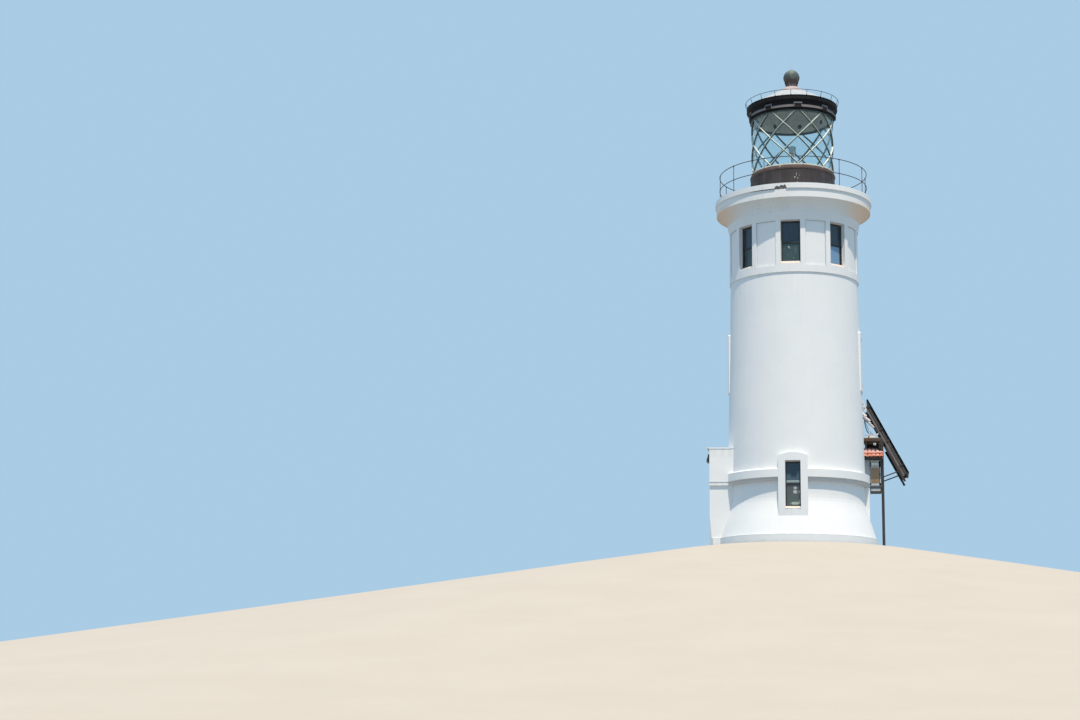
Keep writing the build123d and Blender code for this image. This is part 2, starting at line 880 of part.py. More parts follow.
with BuildPart() as lightning_rod:
    rod_start = ball_centre + ball_r - rod_base_r
    with Locations((0, 0, rod_start)):
        Cone(
            bottom_radius=rod_base_r,
            top_radius=rod_tip_r,
            height=rod_top - rod_start,
            align=(Align.CENTER, Align.CENTER, Align.MIN),
        )
    with Locations((0, 0, ball_centre)):
        Sphere(ball_r, mode=Mode.SUBTRACT)
lightning_rod.part.label = "lightning_rod"
export_step(lightning_rod.part, "parts/lightning_rod.step")

# Small beacon on a post in the middle of the lantern
with BuildPart() as beacon_post:
    with BuildSketch(Plane.XY.offset(deck_level)):
        Circle(beacon_foot_r)
    extrude(amount=beacon_foot_height)
    with BuildSketch(Plane.XY.offset(deck_level)):
        Circle(beacon_post_r)
    extrude(amount=beacon_lens_bottom - deck_level)
beacon_post.part.label = "beacon_post"
export_step(beacon_post.part, "parts/beacon_post.step")

with BuildPart() as beacon_lens:
    with BuildSketch(Plane.XY.offset(beacon_lens_bottom)):
        Circle(beacon_lens_r)
    extrude(amount=beacon_lens_top - beacon_lens_bottom)
beacon_lens.part.label = "beacon_lens"
export_step(beacon_lens.part, "parts/beacon_lens.step")


# Solar array: everything in its slope is placed by down and depth
slope = math.radians(array_slope)
array_plane = Plane(
    origin=(array_top_x, array_near_y, array_top_z),
    x_dir=(math.cos(slope), 0, -math.sin(slope)),
    z_dir=(0, 1, 0),
)
purlin_depth = module_thickness + purlin_height
array_rail_depth = purlin_depth + array_rail_thickness
chord_depth = array_rail_depth + chord_thickness


def array_bar(down, depth, across, mode=Mode.ADD):
    """Square bar in the array's slope between two values down, in depth and across."""
    with BuildSketch(array_plane.offset(across[0])) as outline:
        with BuildLine():
            Polyline(
                (down[0], depth[0]),
                (down[1], depth[0]),
                (down[1], depth[1]),
                (down[0], depth[1]),
                close=True,
            )
        make_face()
    extrude(outline.sketch, amount=across[1] - across[0], mode=mode)


def array_point(down, depth):
    """Place in X and Z of a point of the array's slope."""
    x = array_top_x + down * math.cos(slope) - depth * math.sin(slope)
    z = array_top_z - down * math.sin(slope) - depth * math.cos(slope)
    return x, z


array_length = module_count * module_length + (module_count - 1) * module_gap
rail_rows = []
for y in (rack_near_y, rack_far_y):
    across = y - array_near_y
    rail_rows.append((across - array_rail_width / 2, across + array_rail_width / 2))
with BuildPart() as solar_panels:
    for step in range(module_count):
        start = step * (module_length + module_gap)
        array_bar((start, start + module_length), (0, module_thickness), (0, array_width))
solar_panels.part.label = "solar_panels"
export_step(solar_panels.part, "parts/solar_panels.step")

with BuildPart() as array_rails:
    for row in rail_rows:
        array_bar((array_rail_start, array_length), (purlin_depth, array_rail_depth), row)
array_rails.part.label = "array_rails"
export_step(array_rails.part, "parts/array_rails.step")

# Purlins across the array, between the modules and the rails
with BuildPart() as array_purlins:
    for down in purlin_downs:
        array_bar((down, down + purlin_width), (module_thickness, purlin_depth), (0, array_width))
array_purlins.part.label = "array_purlins"
export_step(array_purlins.part, "parts/array_purlins.step")

# Dark chord under each rail, and the strut that carries it from the rack's post
with BuildPart() as array_frame:
    for row in rail_rows:
        array_bar((chord_down_start, chord_down_end), (array_rail_depth, chord_depth), row)
        strut_y = array_near_y + (row[0] + row[1]) / 2
        head_x, head_z = array_point(strut_head_down, (array_rail_depth + chord_depth) / 2)
        low = Vector(rack_outer_x, strut_y, strut_foot_z)
        high = Vector(head_x, strut_y, head_z)
        with BuildSketch(Plane(origin=low, z_dir=high - low)):
            Circle(strut_r)
        extrude(amount=(high - low).length)
        block(
            (rack_outer_x - rack_post, rack_outer_x + rack_post / 2),
            (strut_y - rack_post / 2, strut_y + rack_post / 2),
            (0, array_top_z),
            mode=Mode.SUBTRACT,
        )
array_frame.part.label = "array_frame"
export_step(array_frame.part, "parts/array_frame.step")

# Rack posts: the outer ones reach up to the array's rails, the far inner one to the beams
with BuildPart() as rack_posts:
    for y in (rack_near_y, rack_far_y):
        post_y = (y - rack_post / 2, y + rack_post / 2)
        outer = (rack_outer_x - rack_post / 2, rack_outer_x + rack_post / 2)
        block(outer, post_y, (0, array_top_z))
    inner = (rack_inner_x - rack_post / 2, rack_inner_x + rack_post / 2)
    block(inner, post_y, (0, side_beam_bottom))
    array_bar((-far_r, far_r), (-far_r, array_rail_depth), (-array_width, 2 * array_width), mode=Mode.SUBTRACT)
rack_posts.part.label = "rack_posts"
export_step(rack_posts.part, "parts/rack_posts.step")

# Beams between the posts, the near one shallower than the others, and the boards on them
beam_inner_x = rack_inner_x - rack_post / 2
beam_outer_x = rack_outer_x - rack_post / 2
near_beam_y = rack_near_y - rack_post / 2
with BuildPart() as rack_beams:
    block(
        (drum_inner_r, beam_outer_x),
        (near_beam_y, near_beam_y + rack_beam_width),
        (beam_top - near_beam_height, beam_top),
    )
    block(
        (beam_inner_x, beam_outer_x),
        (rack_far_y - rack_beam_width / 2, rack_far_y + rack_beam_width / 2),
        (side_beam_bottom, beam_top),
    )
    for x in (beam_inner_x, beam_outer_x - rack_beam_width):
        block(
            (x, x + rack_beam_width),
            (near_beam_y, rack_far_y + rack_beam_width / 2),
            (side_beam_bottom, beam_top),
        )
    add(tower_mass.part, mode=Mode.SUBTRACT)
rack_beams.part.label = "rack_beams"
export_step(rack_beams.part, "parts/rack_beams.step")

with BuildPart() as rack_deck:
    block(
        (beam_inner_x - rack_inner_lap - rack_deck_lap, beam_outer_x),
        (near_beam_y - rack_deck_lap, rack_far_y + rack_post),
        (beam_top, rack_deck_top),
    )
rack_deck.part.label = "rack_deck"
export_step(rack_deck.part, "parts/rack_deck.step")

# Brace from the tower's wall down to the head of the near outer post
with BuildPart() as rack_brace:
    brace_top = Vector(rack_brace_top_x, rack_near_y, rack_brace_top)
    brace_foot = Vector(beam_outer_x, rack_near_y, rack_brace_foot)
    brace_way = (brace_foot - brace_top).normalized()
    brace_start = brace_top - brace_way * rack_brace_width
    brace_plane = Plane(origin=brace_start, x_dir=(0, 1, 0), z_dir=brace_way)
    with BuildSketch(brace_plane):
        Rectangle(rack_brace_width, rack_brace_width)
    extrude(amount=(brace_foot - brace_start).length + rack_brace_width)
    block((beam_outer_x, far_r), (-far_r, far_r), (0, shaft_top), mode=Mode.SUBTRACT)
    array_bar((-far_r, far_r), (-far_r, array_rail_depth), (0, array_width), mode=Mode.SUBTRACT)
    add(tower_mass.part, mode=Mode.SUBTRACT)
rack_brace.part.label = "rack_brace"
export_step(rack_brace.part, "parts/rack_brace.step")

# Cabinet between the wall and the near post, on a tray, under a small tiled roof
cabinet_x = (cabinet_inner_x, rack_outer_x - rack_post / 2)
cabinet_y = (rack_near_y - rack_post / 2 + cabinet_setback, rack_near_y + cabinet_depth)
with BuildPart() as cabinet:
    block(cabinet_x, cabinet_y, (cabinet_bottom, cabinet_top))
    block(
        (cabinet_x[0] + tray_inset, cabinet_x[1]),
        cabinet_y,
        (tray_bottom, cabinet_bottom),
    )
    add(belt_course.part, mode=Mode.SUBTRACT)
cabinet.part.label = "cabinet"
export_step(cabinet.part, "parts/cabinet.step")

tile_back = tile_roof_front + tile_roof_depth
tile_plane = Plane(origin=(rack_inner_x - rack_post, 0, 0), x_dir=(0, 1, 0), z_dir=(1, 0, 0))
tile_end_x = rack_outer_x + rack_post / 2
with BuildPart() as cabinet_roof:
    with BuildSketch(tile_plane):
        with BuildLine():
            Polyline(
                (tile_roof_front, tile_roof_low),
                (tile_roof_front, tile_roof_low + tile_roof_thickness),
                (tile_back, tile_roof_high + tile_roof_thickness),
                (tile_back, cabinet_top),
                (cabinet_y[0], cabinet_top),
                (cabinet_y[0], tile_roof_low),
                close=True,
            )
        make_face()
    extrude(amount=tile_end_x - rack_inner_x + rack_post)
    add(rack_posts.part, mode=Mode.SUBTRACT)
cabinet_roof.part.label = "cabinet_roof"
export_step(cabinet_roof.part, "parts/cabinet_roof.step")

# White bracket plate from the tower's wall to the head of the array's near rail
with BuildPart() as array_bracket:
    bracket_plane = Plane(origin=(0, rack_near_y + bracket_width / 2, 0), x_dir=(1, 0, 0), z_dir=(0, -1, 0))
    with BuildSketch(bracket_plane):
        with BuildLine():
            Polyline(
                (bracket_root_x, bracket_wall_top),
                array_point(array_rail_start, array_rail_depth),
                array_point(array_rail_start + bracket_seat, array_rail_depth),
                (bracket_foot_x, bracket_foot_z),
                (bracket_root_x, bracket_wall_bottom),
                close=True,
            )
        make_face()
    extrude(amount=bracket_width)
    add(tower_mass.part, mode=Mode.SUBTRACT)
array_bracket.part.label = "array_bracket"
export_step(array_bracket.part, "parts/array_bracket.step")
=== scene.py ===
import math
import random

import bmesh
import bpy
from mathutils import Matrix, Vector


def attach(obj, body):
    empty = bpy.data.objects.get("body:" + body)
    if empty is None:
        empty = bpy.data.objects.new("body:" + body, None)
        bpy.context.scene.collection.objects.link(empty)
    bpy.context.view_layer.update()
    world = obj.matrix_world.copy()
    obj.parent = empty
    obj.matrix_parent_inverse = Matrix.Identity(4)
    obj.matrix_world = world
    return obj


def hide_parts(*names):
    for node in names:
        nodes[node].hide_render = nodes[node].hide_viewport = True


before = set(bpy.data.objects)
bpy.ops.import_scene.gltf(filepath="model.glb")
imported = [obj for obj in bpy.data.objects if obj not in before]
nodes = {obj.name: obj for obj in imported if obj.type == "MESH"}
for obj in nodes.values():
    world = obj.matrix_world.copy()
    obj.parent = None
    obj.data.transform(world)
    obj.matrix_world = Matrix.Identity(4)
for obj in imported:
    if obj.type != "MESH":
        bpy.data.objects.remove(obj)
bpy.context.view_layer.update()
dice = random.Random(11)
up_way = Vector((0, 0, 1))
world_axes = (Vector((0, 0, 0)), Vector((1, 0, 0)), Vector((0, 1, 0)), up_way)


# Camera at the photograph's place and viewing angle

camera_place = Vector((2.619, -59.98, -4.752))
camera_heading = Vector((-0.1889, 0.982, 0.0)).normalized()
camera_pitch = math.radians(10.596)
camera_roll = math.radians(0.8646)
camera_lens = 58.612

forward = camera_heading * math.cos(camera_pitch) + up_way * math.sin(camera_pitch)
level_right = Vector((camera_heading.y, -camera_heading.x, 0))
level_up = level_right.cross(forward)
camera_right = level_right * math.cos(camera_roll) + level_up * math.sin(camera_roll)
camera_up = camera_right.cross(forward)
camera_axes = Matrix((camera_right, camera_up, -forward)).transposed()
camera_data = bpy.data.cameras.new("camera")
camera_data.lens = camera_lens
camera_data.sensor_width = 36.0
camera_data.clip_end = 500.0
camera = bpy.data.objects.new("camera", camera_data)
camera.matrix_world = Matrix.Translation(camera_place) @ camera_axes.to_4x4()
bpy.context.scene.collection.objects.link(camera)
bpy.context.scene.camera = camera
bpy.context.scene.view_settings.view_transform = "Standard"


# World: cool soft fill light, and a pale backdrop that the camera, glass and gloss see

fill_light = (0.36, 0.56, 0.78, 1)
backdrop = (0.4, 0.6, 0.78, 1)
world = bpy.data.worlds.new("world")
bpy.context.scene.world = world
world.use_nodes = True
tree = world.node_tree
tree.nodes.clear()
path = tree.nodes.new("ShaderNodeLightPath")
seen = path.outputs["Is Camera Ray"]
for ray in ("Is Glossy Ray", "Is Transmission Ray"):
    either = tree.nodes.new("ShaderNodeMath")
    either.operation = "MAXIMUM"
    tree.links.new(seen, either.inputs[0])
    tree.links.new(path.outputs[ray], either.inputs[1])
    seen = either.outputs[0]
mix = tree.nodes.new("ShaderNodeMix")
mix.data_type = "RGBA"
mix.inputs["A"].default_value = fill_light
mix.inputs["B"].default_value = backdrop
tree.links.new(seen, mix.inputs["Factor"])
background = tree.nodes.new("ShaderNodeBackground")
output = tree.nodes.new("ShaderNodeOutputWorld")
tree.links.new(mix.outputs["Result"], background.inputs["Color"])
tree.links.new(background.outputs[0], output.inputs["Surface"])


# Mesh helpers. A place on the tower is a radius, an angle phi from the front and a height.
# A frame (axes) is an origin and three directions


def polar(r, phi, z):
    a = math.radians(phi)
    return Vector((r * math.sin(a), -r * math.cos(a), z))


def wall_axes(phi, origin=(0, 0, 0)):
    """Frame at phi: right along the wall, outward from the axis, and up."""
    return Vector(origin), polar(1, phi + 90, 0), polar(1, phi, 0), up_way


def facing(place, way):
    """Frame at a place, with its last direction along a way."""
    way = Vector(way).normalized()
    side = way.orthogonal().normalized()
    return Vector(place), side, way.cross(side), way


def at(axes, u, v, w):
    return axes[0] + axes[1] * u + axes[2] * v + axes[3] * w


def turns(count):
    """Angles of a full turn in equal steps."""
    return [2 * math.pi * s / count for s in range(count)]


def bar(inner, outer, low, high):
    """Outline of a rectangle in radius and height."""
    return [(inner, low), (outer, low), (outer, high), (inner, high)]


def loft(mesh, rings, slot=0, ring_closed=True, joined=False):
    """Skin over rings of points; slot is one number, or one for each side of the ring."""
    rows = [[mesh.verts.new(point) for point in ring] for ring in rings]
    count = len(rows[0])
    slots = slot if isinstance(slot, list) else [slot] * count
    pairs = list(zip(rows, rows[1:]))
    if joined:
        pairs.append((rows[-1], rows[0]))
    for low, high in pairs:
        for k in range(count if ring_closed else count - 1):
            n = (k + 1) % count
            mesh.faces.new((low[k], low[n], high[n], high[k])).material_index = slots[k]
    if ring_closed and not joined:
        for row in (rows[0], rows[-1]):
            mesh.faces.new(row).material_index = slots[0]


def box(mesh, axes, u, v, w, slot=0):
    """Bar between two values along each of the three directions of a frame."""
    corners = ((u[0], v[0]), (u[1], v[0]), (u[1], v[1]), (u[0], v[1]))
    loft(mesh, [[at(axes, a, b, c) for a, b in corners] for c in w], slot)


def pair(mesh, axes, inner, outer, v, w, slot=0):
    """Two bars alike, left and right of a frame's middle."""
    for side in (-1, 1):
        box(mesh, axes, sorted((side * inner, side * outer)), v, w, slot)


def boxes(mesh, axes, rows):
    """Bars from rows of two values for each direction and a slot."""
    for *span, slot in rows:
        box(mesh, axes, span[:2], span[2:4], span[4:], slot)


def turned(mesh, profile, slot=0, steps=120, start=0.0, arc=360.0, closed=True):
    """Turn an outline of radius and height about the tower's axis."""
    full = arc >= 360.0
    angles = [start + arc * k / steps for k in range(steps if full else steps + 1)]
    loft(mesh, [[polar(r, phi, z) for r, z in profile] for phi in angles], slot, closed, full)


def spun(mesh, profile, axes, slot, steps):
    """Turn an outline of radius and height about the last direction of a frame."""
    rings = [[at(axes, r * math.cos(a), r * math.sin(a), z) for r, z in profile] for a in turns(steps)]
    loft(mesh, rings, slot, joined=True)


def stack(mesh, axes, steps, sides, slot=0):
    """Solid over rings, each a height and a radius, along the last direction of a frame."""
    angles = turns(sides)
    loft(mesh, [[at(axes, r * math.cos(a), r * math.sin(a), w) for a in angles] for w, r in steps], slot)


def strip(mesh, axes, section, path):
    """Bar with a section of side and lift, along a path of radius and height."""
    loft(mesh, [[at(axes, side, r, z + lift) for side, lift in section] for r, z in path])


def sheet(mesh, axes, corners, thickness, slot=0):
    """Plate between its corners and the same corners moved by a vector."""
    face = [at(axes, *corner) for corner in corners]
    loft(mesh, [face, [corner + thickness for corner in face]], slot)


def tube(mesh, points, radius, sides=10, slot=0):
    """Round bar along points."""
    points = [Vector(point) for point in points]
    last = len(points) - 1
    side = None
    rings = []
    for k, point in enumerate(points):
        way = (points[min(k + 1, last)] - points[max(k - 1, 0)]).normalized()
        if side is None:
            side = way.orthogonal().normalized()
        side = (side - way * side.dot(way)).normalized()
        axes = (point, side, way.cross(side), way)
        rings.append([at(axes, radius * math.cos(a), radius * math.sin(a), 0) for a in turns(sides)])
    loft(mesh, rings, slot)


def bolt(mesh, place, way, radius, height, slot=0):
    """Low six-sided bolt head with a chamfered top."""
    steps = ((0.0, radius), (0.7 * height, radius), (height, 0.72 * radius))
    stack(mesh, facing(place, way), steps, 6, slot)


def lens(mesh, place, way, radius, height, slot=0, sides=20, rows=4):
    """Shallow dome on a round foot, open by a hair at its top."""
    angles = [0.48 * math.pi * row / rows for row in range(rows + 1)]
    steps = [(height * math.sin(a), radius * math.cos(a)) for a in angles]
    stack(mesh, facing(place, way), steps, sides, slot)


def bolt_ring(mesh, count, first, r, z, way, size, slot=0):
    """Bolts alike round the tower; way is 0 for upright ones, 1 outward, -1 inward."""
    for k in range(count):
        phi = first + 360.0 * k / count
        bolt(mesh, polar(r, phi, z), polar(way, phi, 0) if way else up_way, *size, slot)


def to_object(name, mesh, finishes):
    """Make an object of a mesh, with its materials, and put it into the scene."""
    data = bpy.data.meshes.new(name)
    mesh.to_mesh(data)
    mesh.free()
    for finish in finishes:
        data.materials.append(finish.material)
    made = bpy.data.objects.new(name, data)
    bpy.context.scene.collection.objects.link(made)
    return made


def smooth(mesh):
    bmesh.ops.recalc_face_normals(mesh, faces=mesh.faces)
    for face in mesh.faces:
        face.smooth = True


def piece(name, mesh, finishes, bevel=0.0, sharp=35.0, replaces=()):
    """Turn a mesh into a piece of the part, smooth but for its sharp edges."""
    smooth(mesh)
    for edge in mesh.edges:
        edge.smooth = len(edge.link_faces) == 2 and edge.calc_face_angle(0.0) < math.radians(sharp)
    made = to_object(name, mesh, finishes)
    if bevel:
        rounding = made.modifiers.new("bevel", "BEVEL")
        rounding.width = bevel
        rounding.segments = 2
        rounding.limit_method = "ANGLE"
        rounding.angle_limit = math.radians(40)
        rounding.use_clamp_overlap = True
        rounding.harden_normals = False
    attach(made, "root")
    if replaces:
        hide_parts(*replaces)


# Key lamp, high and a little to the right of the front

sun_elevation = math.radians(66.0)
sun_phi = 17.5
sun_data = bpy.data.lights.new("key", "SUN")
sun_data.energy = 3.72
sun_data.angle = math.radians(1.0)
sun_data.color = (1.0, 0.86, 0.7)
sun = bpy.data.objects.new("key", sun_data)
towards_sun = polar(math.cos(sun_elevation), sun_phi, math.sin(sun_elevation))
sun.rotation_mode = "QUATERNION"
sun.rotation_quaternion = towards_sun.to_track_quat("Z", "Y")
bpy.context.scene.collection.objects.link(sun)


# Material helper


class Finish:
    """A procedural material: nodes in front of one Principled shader."""

    def __init__(self, name, roughness=0.7, metallic=0.0, specular=0.5):
        self.material = bpy.data.materials.new(name)
        self.material.use_nodes = True
        self.tree = self.material.node_tree
        self.shader = self.tree.nodes["Principled BSDF"]
        self.shader.inputs["Roughness"].default_value = roughness
        self.shader.inputs["Metallic"].default_value = metallic
        self.shader.inputs["Specular IOR Level"].default_value = specular
        self.place = self.tree.nodes.new("ShaderNodeTexCoord").outputs["Object"]
        self.x, self.y, self.z = self.add("ShaderNodeSeparateXYZ", Vector=self.place).outputs

    def add(self, kind, settings=None, **inputs):
        node = self.tree.nodes.new(kind)
        for key, value in (settings or {}).items():
            setattr(node, key, value)
        for key, value in inputs.items():
            self.feed(value, node.inputs[key.replace("_", " ")])
        return node

    def feed(self, value, socket):
        if isinstance(value, bpy.types.NodeSocket):
            self.tree.links.new(value, socket)
        else:
            socket.default_value = (*value, 1.0) if socket.type == "RGBA" and len(value) == 3 else value

    def spot(self, stretch, shift):
        """The place, stretched and moved, for a pattern to read."""
        moved = self.add("ShaderNodeMapping", Vector=self.place, Scale=stretch, Location=(shift, shift, shift))
        return moved.outputs[0]

    def noise(self, scale, detail=4.0, rough=0.6, stretch=(1, 1, 1), shift=0.0):
        spot = self.spot(stretch, shift)
        return self.add("ShaderNodeTexNoise", Vector=spot, Scale=scale, Detail=detail, Roughness=rough).outputs[0]

    def cells(self, scale, feature="F1", stretch=(1, 1, 1), shift=0.0, wobble=0.0):
        spot = self.spot(stretch, shift)
        if wobble:
            bend = self.add("ShaderNodeTexNoise", Vector=spot, Scale=scale * 1.7, Detail=5.0).outputs[1]
            push = self.add("ShaderNodeVectorMath", {"operation": "SCALE"}, Vector=bend, Scale=wobble)
            total = self.add("ShaderNodeVectorMath", {"operation": "ADD"}, Vector=spot)
            self.feed(push.outputs[0], total.inputs[1])
            spot = total.outputs[0]
        return self.add("ShaderNodeTexVoronoi", {"feature": feature}, Vector=spot, Scale=scale).outputs["Distance"]

    def mask(self, value, low, high):
        """Soft step from 0 at low to 1 at high."""
        soft = {"interpolation_type": "SMOOTHSTEP"}
        return self.add("ShaderNodeMapRange", soft, Value=value, From_Min=low, From_Max=high).outputs[0]

    def calc(self, operation, a, b=0.0):
        node = self.add("ShaderNodeMath", {"operation": operation})
        self.feed(a, node.inputs[0])
        self.feed(b, node.inputs[1])
        return node.outputs[0]

    def times(self, a, b):
        return self.calc("MULTIPLY", a, b)

    def plus(self, a, b, share=1.0):
        """Sum of a and a share of b."""
        return self.calc("ADD", a, b if share == 1.0 else self.times(b, share))

    def band(self, low, high, soft, value=None):
        value = self.z if value is None else value
        return self.times(self.mask(value, low - soft, low + soft), self.mask(value, high + soft, high - soft))

    def mix(self, factor, a, b):
        node = self.add("ShaderNodeMix", {"data_type": "RGBA"})
        for value, key in ((factor, "Factor"), (a, "A"), (b, "B")):
            self.feed(value, node.inputs[key])
        return node.outputs["Result"]

    def over(self, colour, mask, strength, shade):
        """Lay a shade over a colour where a mask says, at a strength."""
        return self.mix(self.times(mask, strength), colour, shade)

    def blend(self, factor, low, high):
        return self.add("ShaderNodeMapRange", Value=factor, To_Min=low, To_Max=high).outputs[0]

    def done(self, colour, roughness=None, height=None, distance=0.002, strength=1.0):
        self.feed(colour, self.shader.inputs["Base Color"])
        if roughness is not None:
            self.feed(roughness, self.shader.inputs["Roughness"])
        if height is not None:
            relief = self.add("ShaderNodeBump", Height=height, Distance=distance, Strength=strength)
            self.feed(relief.outputs[0], self.shader.inputs["Normal"])
        return self


# Floor: level round the tower, and falling away below the camera further out

floor_mesh = bmesh.new()
floor_outline = [(0.001, 0.0), (3.0, 0.0), (3.4, -0.02), (4.0, -0.1), (5.0, -0.26), (8.0, -0.75), (16.0, -2.1)]
floor_outline += [(30.0, -4.4), (46.0, -6.4), (60.0, -7.0), (90.0, -7.0), (400.0, -7.0)]
turned(floor_mesh, floor_outline, steps=96, closed=False)
smooth(floor_mesh)
ground = Finish("floor", 0.9)
floor = to_object("floor", floor_mesh, [ground])
seen_floor = ground.mix(ground.noise(0.4, 5), (0.53, 0.46, 0.375), (0.59, 0.52, 0.43))
rays = ground.add("ShaderNodeLightPath").outputs
direct = ground.calc("MAXIMUM", rays["Is Camera Ray"], rays["Is Glossy Ray"])
direct = ground.calc("MAXIMUM", direct, rays["Is Transmission Ray"])
ground.done(ground.mix(direct, (0.25, 0.26, 0.25), seen_floor), None, ground.noise(9, 6), 0.01)


# Materials of the masonry


def masonry(
    name, tint=(0.868, 0.868, 0.852), stains=(), foot=False, cracks=0.05, spall_and_bounce=False, warm=0.0, under=None
):
    """White lime paint over render: mottled, with faint cracks, specks, and runs under the ledges; it can also
    paint shade under a ledge and warm bounce light on the cove's ends.
    """
    f = Finish(name, 0.82, specular=0.3)
    patch = f.noise(3.2, 6, 0.7, shift=3.0)
    faded = tuple(c * k for c, k in zip(tint, (0.965, 0.972, 0.985)))
    colour = f.mix(f.mask(f.noise(0.9, 3), 0.35, 0.7), tint, faded)
    colour = f.over(colour, f.mask(patch, 0.52, 0.78), 0.4, tuple(c * 0.945 for c in tint))
    washed = f.mask(f.noise(5.0, 5, 0.6, (1, 1, 0.13), 7.0), 0.5, 0.8)
    colour = f.over(colour, washed, 0.18, (0.74, 0.745, 0.735))
    if warm:
        rusty = f.mask(f.noise(2.4, 6, 0.7, shift=21.0), 0.5, 0.75)
        colour = f.over(colour, rusty, warm, (0.78, 0.66, 0.52))
    for low, high, soft, strength, shade in stains:
        drips = f.mask(f.noise(7.5, 6, 0.65, (1, 1, 0.05), low), 0.44, 0.74)
        colour = f.over(colour, f.times(drips, f.band(low, high, soft)), strength, shade)
    # painted shade: a darker tan band on the step under a ledge, where the ledge's overhang shades it
    if under:
        low, high, shade = under
        colour = f.over(colour, f.band(low, high, 0.012), f.blend(patch, 0.45, 0.8), shade)
    if foot:
        damp = f.mask(f.plus(f.z, f.noise(3.0, 5), -0.16), 0.1, -0.1)
        colour = f.over(colour, damp, 0.45, (0.56, 0.53, 0.45))
        moss = f.times(f.band(0.278, 0.304, 0.006), f.mask(f.noise(14.0, 6, 0.7, (1, 1, 0.2)), 0.4, 0.6))
        colour = f.over(colour, moss, 0.4, (0.42, 0.44, 0.37))
    edge = f.cells(0.85, "DISTANCE_TO_EDGE", (1, 1, 0.8), 2.0, 0.16)
    crack = f.times(f.mask(edge, 0.007, 0.0015), f.mask(f.noise(0.8, 2, shift=9.0), 0.5, 0.62))
    colour = f.over(colour, crack, cracks, (0.4, 0.38, 0.35))
    speck = f.times(f.mask(f.cells(5.5, shift=5.0), 0.075, 0.04), f.mask(f.noise(2.0, 2, shift=14.0), 0.58, 0.7))
    colour = f.over(colour, speck, 0.4, (0.5, 0.47, 0.42))
    if spall_and_bounce:
        phi = f.times(f.calc("ARCTAN2", f.x, f.times(f.y, -1.0)), math.degrees(1))
        near = f.band(-12.5, 1.5, 5.0, phi)
        bare = f.times(near, f.mask(f.plus(f.noise(11.0, 6, 0.75, shift=31.0), near, 0.1), 0.52, 0.63))
        colour = f.over(colour, bare, 0.16, (0.55, 0.5, 0.44))
        dirty = f.times(f.band(-34.0, -12.0, 9.0, phi), f.mask(f.noise(8.0, 6, 0.7, shift=17.0), 0.5, 0.66))
        colour = f.over(colour, dirty, 0.3, (0.5, 0.45, 0.4))
        # painted bounce light: warm orange on the cove's left and right ends, in the shade under the slab
        ends = f.times(f.mask(f.calc("ABSOLUTE", phi), 38.0, 78.0), f.band(11.14, 11.66, 0.1))
        ends = f.times(ends, f.blend(f.noise(3.0, 5, shift=41.0), 0.45, 1.0))
        colour = f.over(colour, ends, 0.85, (0.92, 0.6, 0.38))
    height = f.plus(f.times(f.noise(95.0, 4, 0.7), 0.25), f.noise(7.0, 5, 0.6, shift=4.0), 0.75)
    height = f.calc("SUBTRACT", height, f.times(crack, cracks))
    return f.done(colour, f.blend(patch, 0.76, 0.9), height, 0.006, 0.55)


runs = (0.52, 0.5, 0.455)
wall_paint = masonry("wall_paint", stains=[(1.5, 2.06, 0.12, 0.08, runs), (7.9, 9.06, 0.2, 0.06, runs)], foot=True)
# the belt's step under its fascia gets the painted shade band
belt_paint = masonry("belt_paint", warm=0.03, under=(2.055, 2.176, (0.5, 0.44, 0.4)))
surround_paint = masonry("surround_paint", (0.86, 0.862, 0.848), [(0.9, 1.14, 0.04, 0.2, runs)])
drum_stains = [(9.1, 9.385, 0.08, 0.14, runs), (9.0, 9.13, 0.02, 0.22, (0.48, 0.46, 0.43))]
drum_stains += [(10.88, 11.1, 0.1, 0.08, runs)]
drum_paint = masonry("drum_paint", (0.862, 0.862, 0.845), drum_stains, warm=0.02)
cove_stains = [(11.15, 11.6, 0.1, 0.08, (0.62, 0.56, 0.48))]
cove_paint = masonry("cove_paint", (0.855, 0.85, 0.825), cove_stains, spall_and_bounce=True, warm=0.03)
slab_stains = [(11.86, 12.05, 0.03, 0.06, (0.56, 0.53, 0.48))]
slab_paint = masonry("slab_paint", (0.86, 0.857, 0.835), slab_stains, spall_and_bounce=True, warm=0.03)
portal_stains = [(3.02, 3.32, 0.06, 0.25, (0.48, 0.44, 0.38)), (2.06, 2.18, 0.02, 0.3, (0.5, 0.46, 0.41))]
portal_paint = masonry("portal_paint", stains=portal_stains, foot=True, warm=0.04)
cream = masonry("cream_sill", (0.82, 0.72, 0.6), cracks=0.3, warm=0.3)
lining_cream = masonry("cream_lining", (0.72, 0.64, 0.57), cracks=0.2, warm=0.2)

f = concrete = Finish("floor_concrete", 0.9)
colour = f.mix(f.noise(4.0, 7, 0.7), (0.36, 0.35, 0.325), (0.55, 0.54, 0.51))
f.done(colour, f.blend(f.noise(9.0), 0.8, 0.95), f.noise(60.0, 6, 0.7), 0.003)

f = broken = Finish("broken_concrete", 0.95, specular=0.2)
stones = f.mix(f.noise(60.0, 3), (0.42, 0.34, 0.27), (0.66, 0.6, 0.52))
colour = f.mix(f.mask(f.noise(26.0, 6, 0.7), 0.42, 0.62), (0.2, 0.15, 0.115), stones)
f.done(colour, None, f.noise(70.0, 6, 0.8), 0.008)

# near-black: open joints and the ball's dark neck, and painted shade in the neck's ports and under the slab's lip
f = dark_gap_and_shade = Finish("dark_gap_and_shade", 0.95, specular=0.1)
f.done(f.mix(f.noise(20.0, 5), (0.03, 0.026, 0.023), (0.13, 0.105, 0.085)))


# Materials of metal, wood, glass and tile


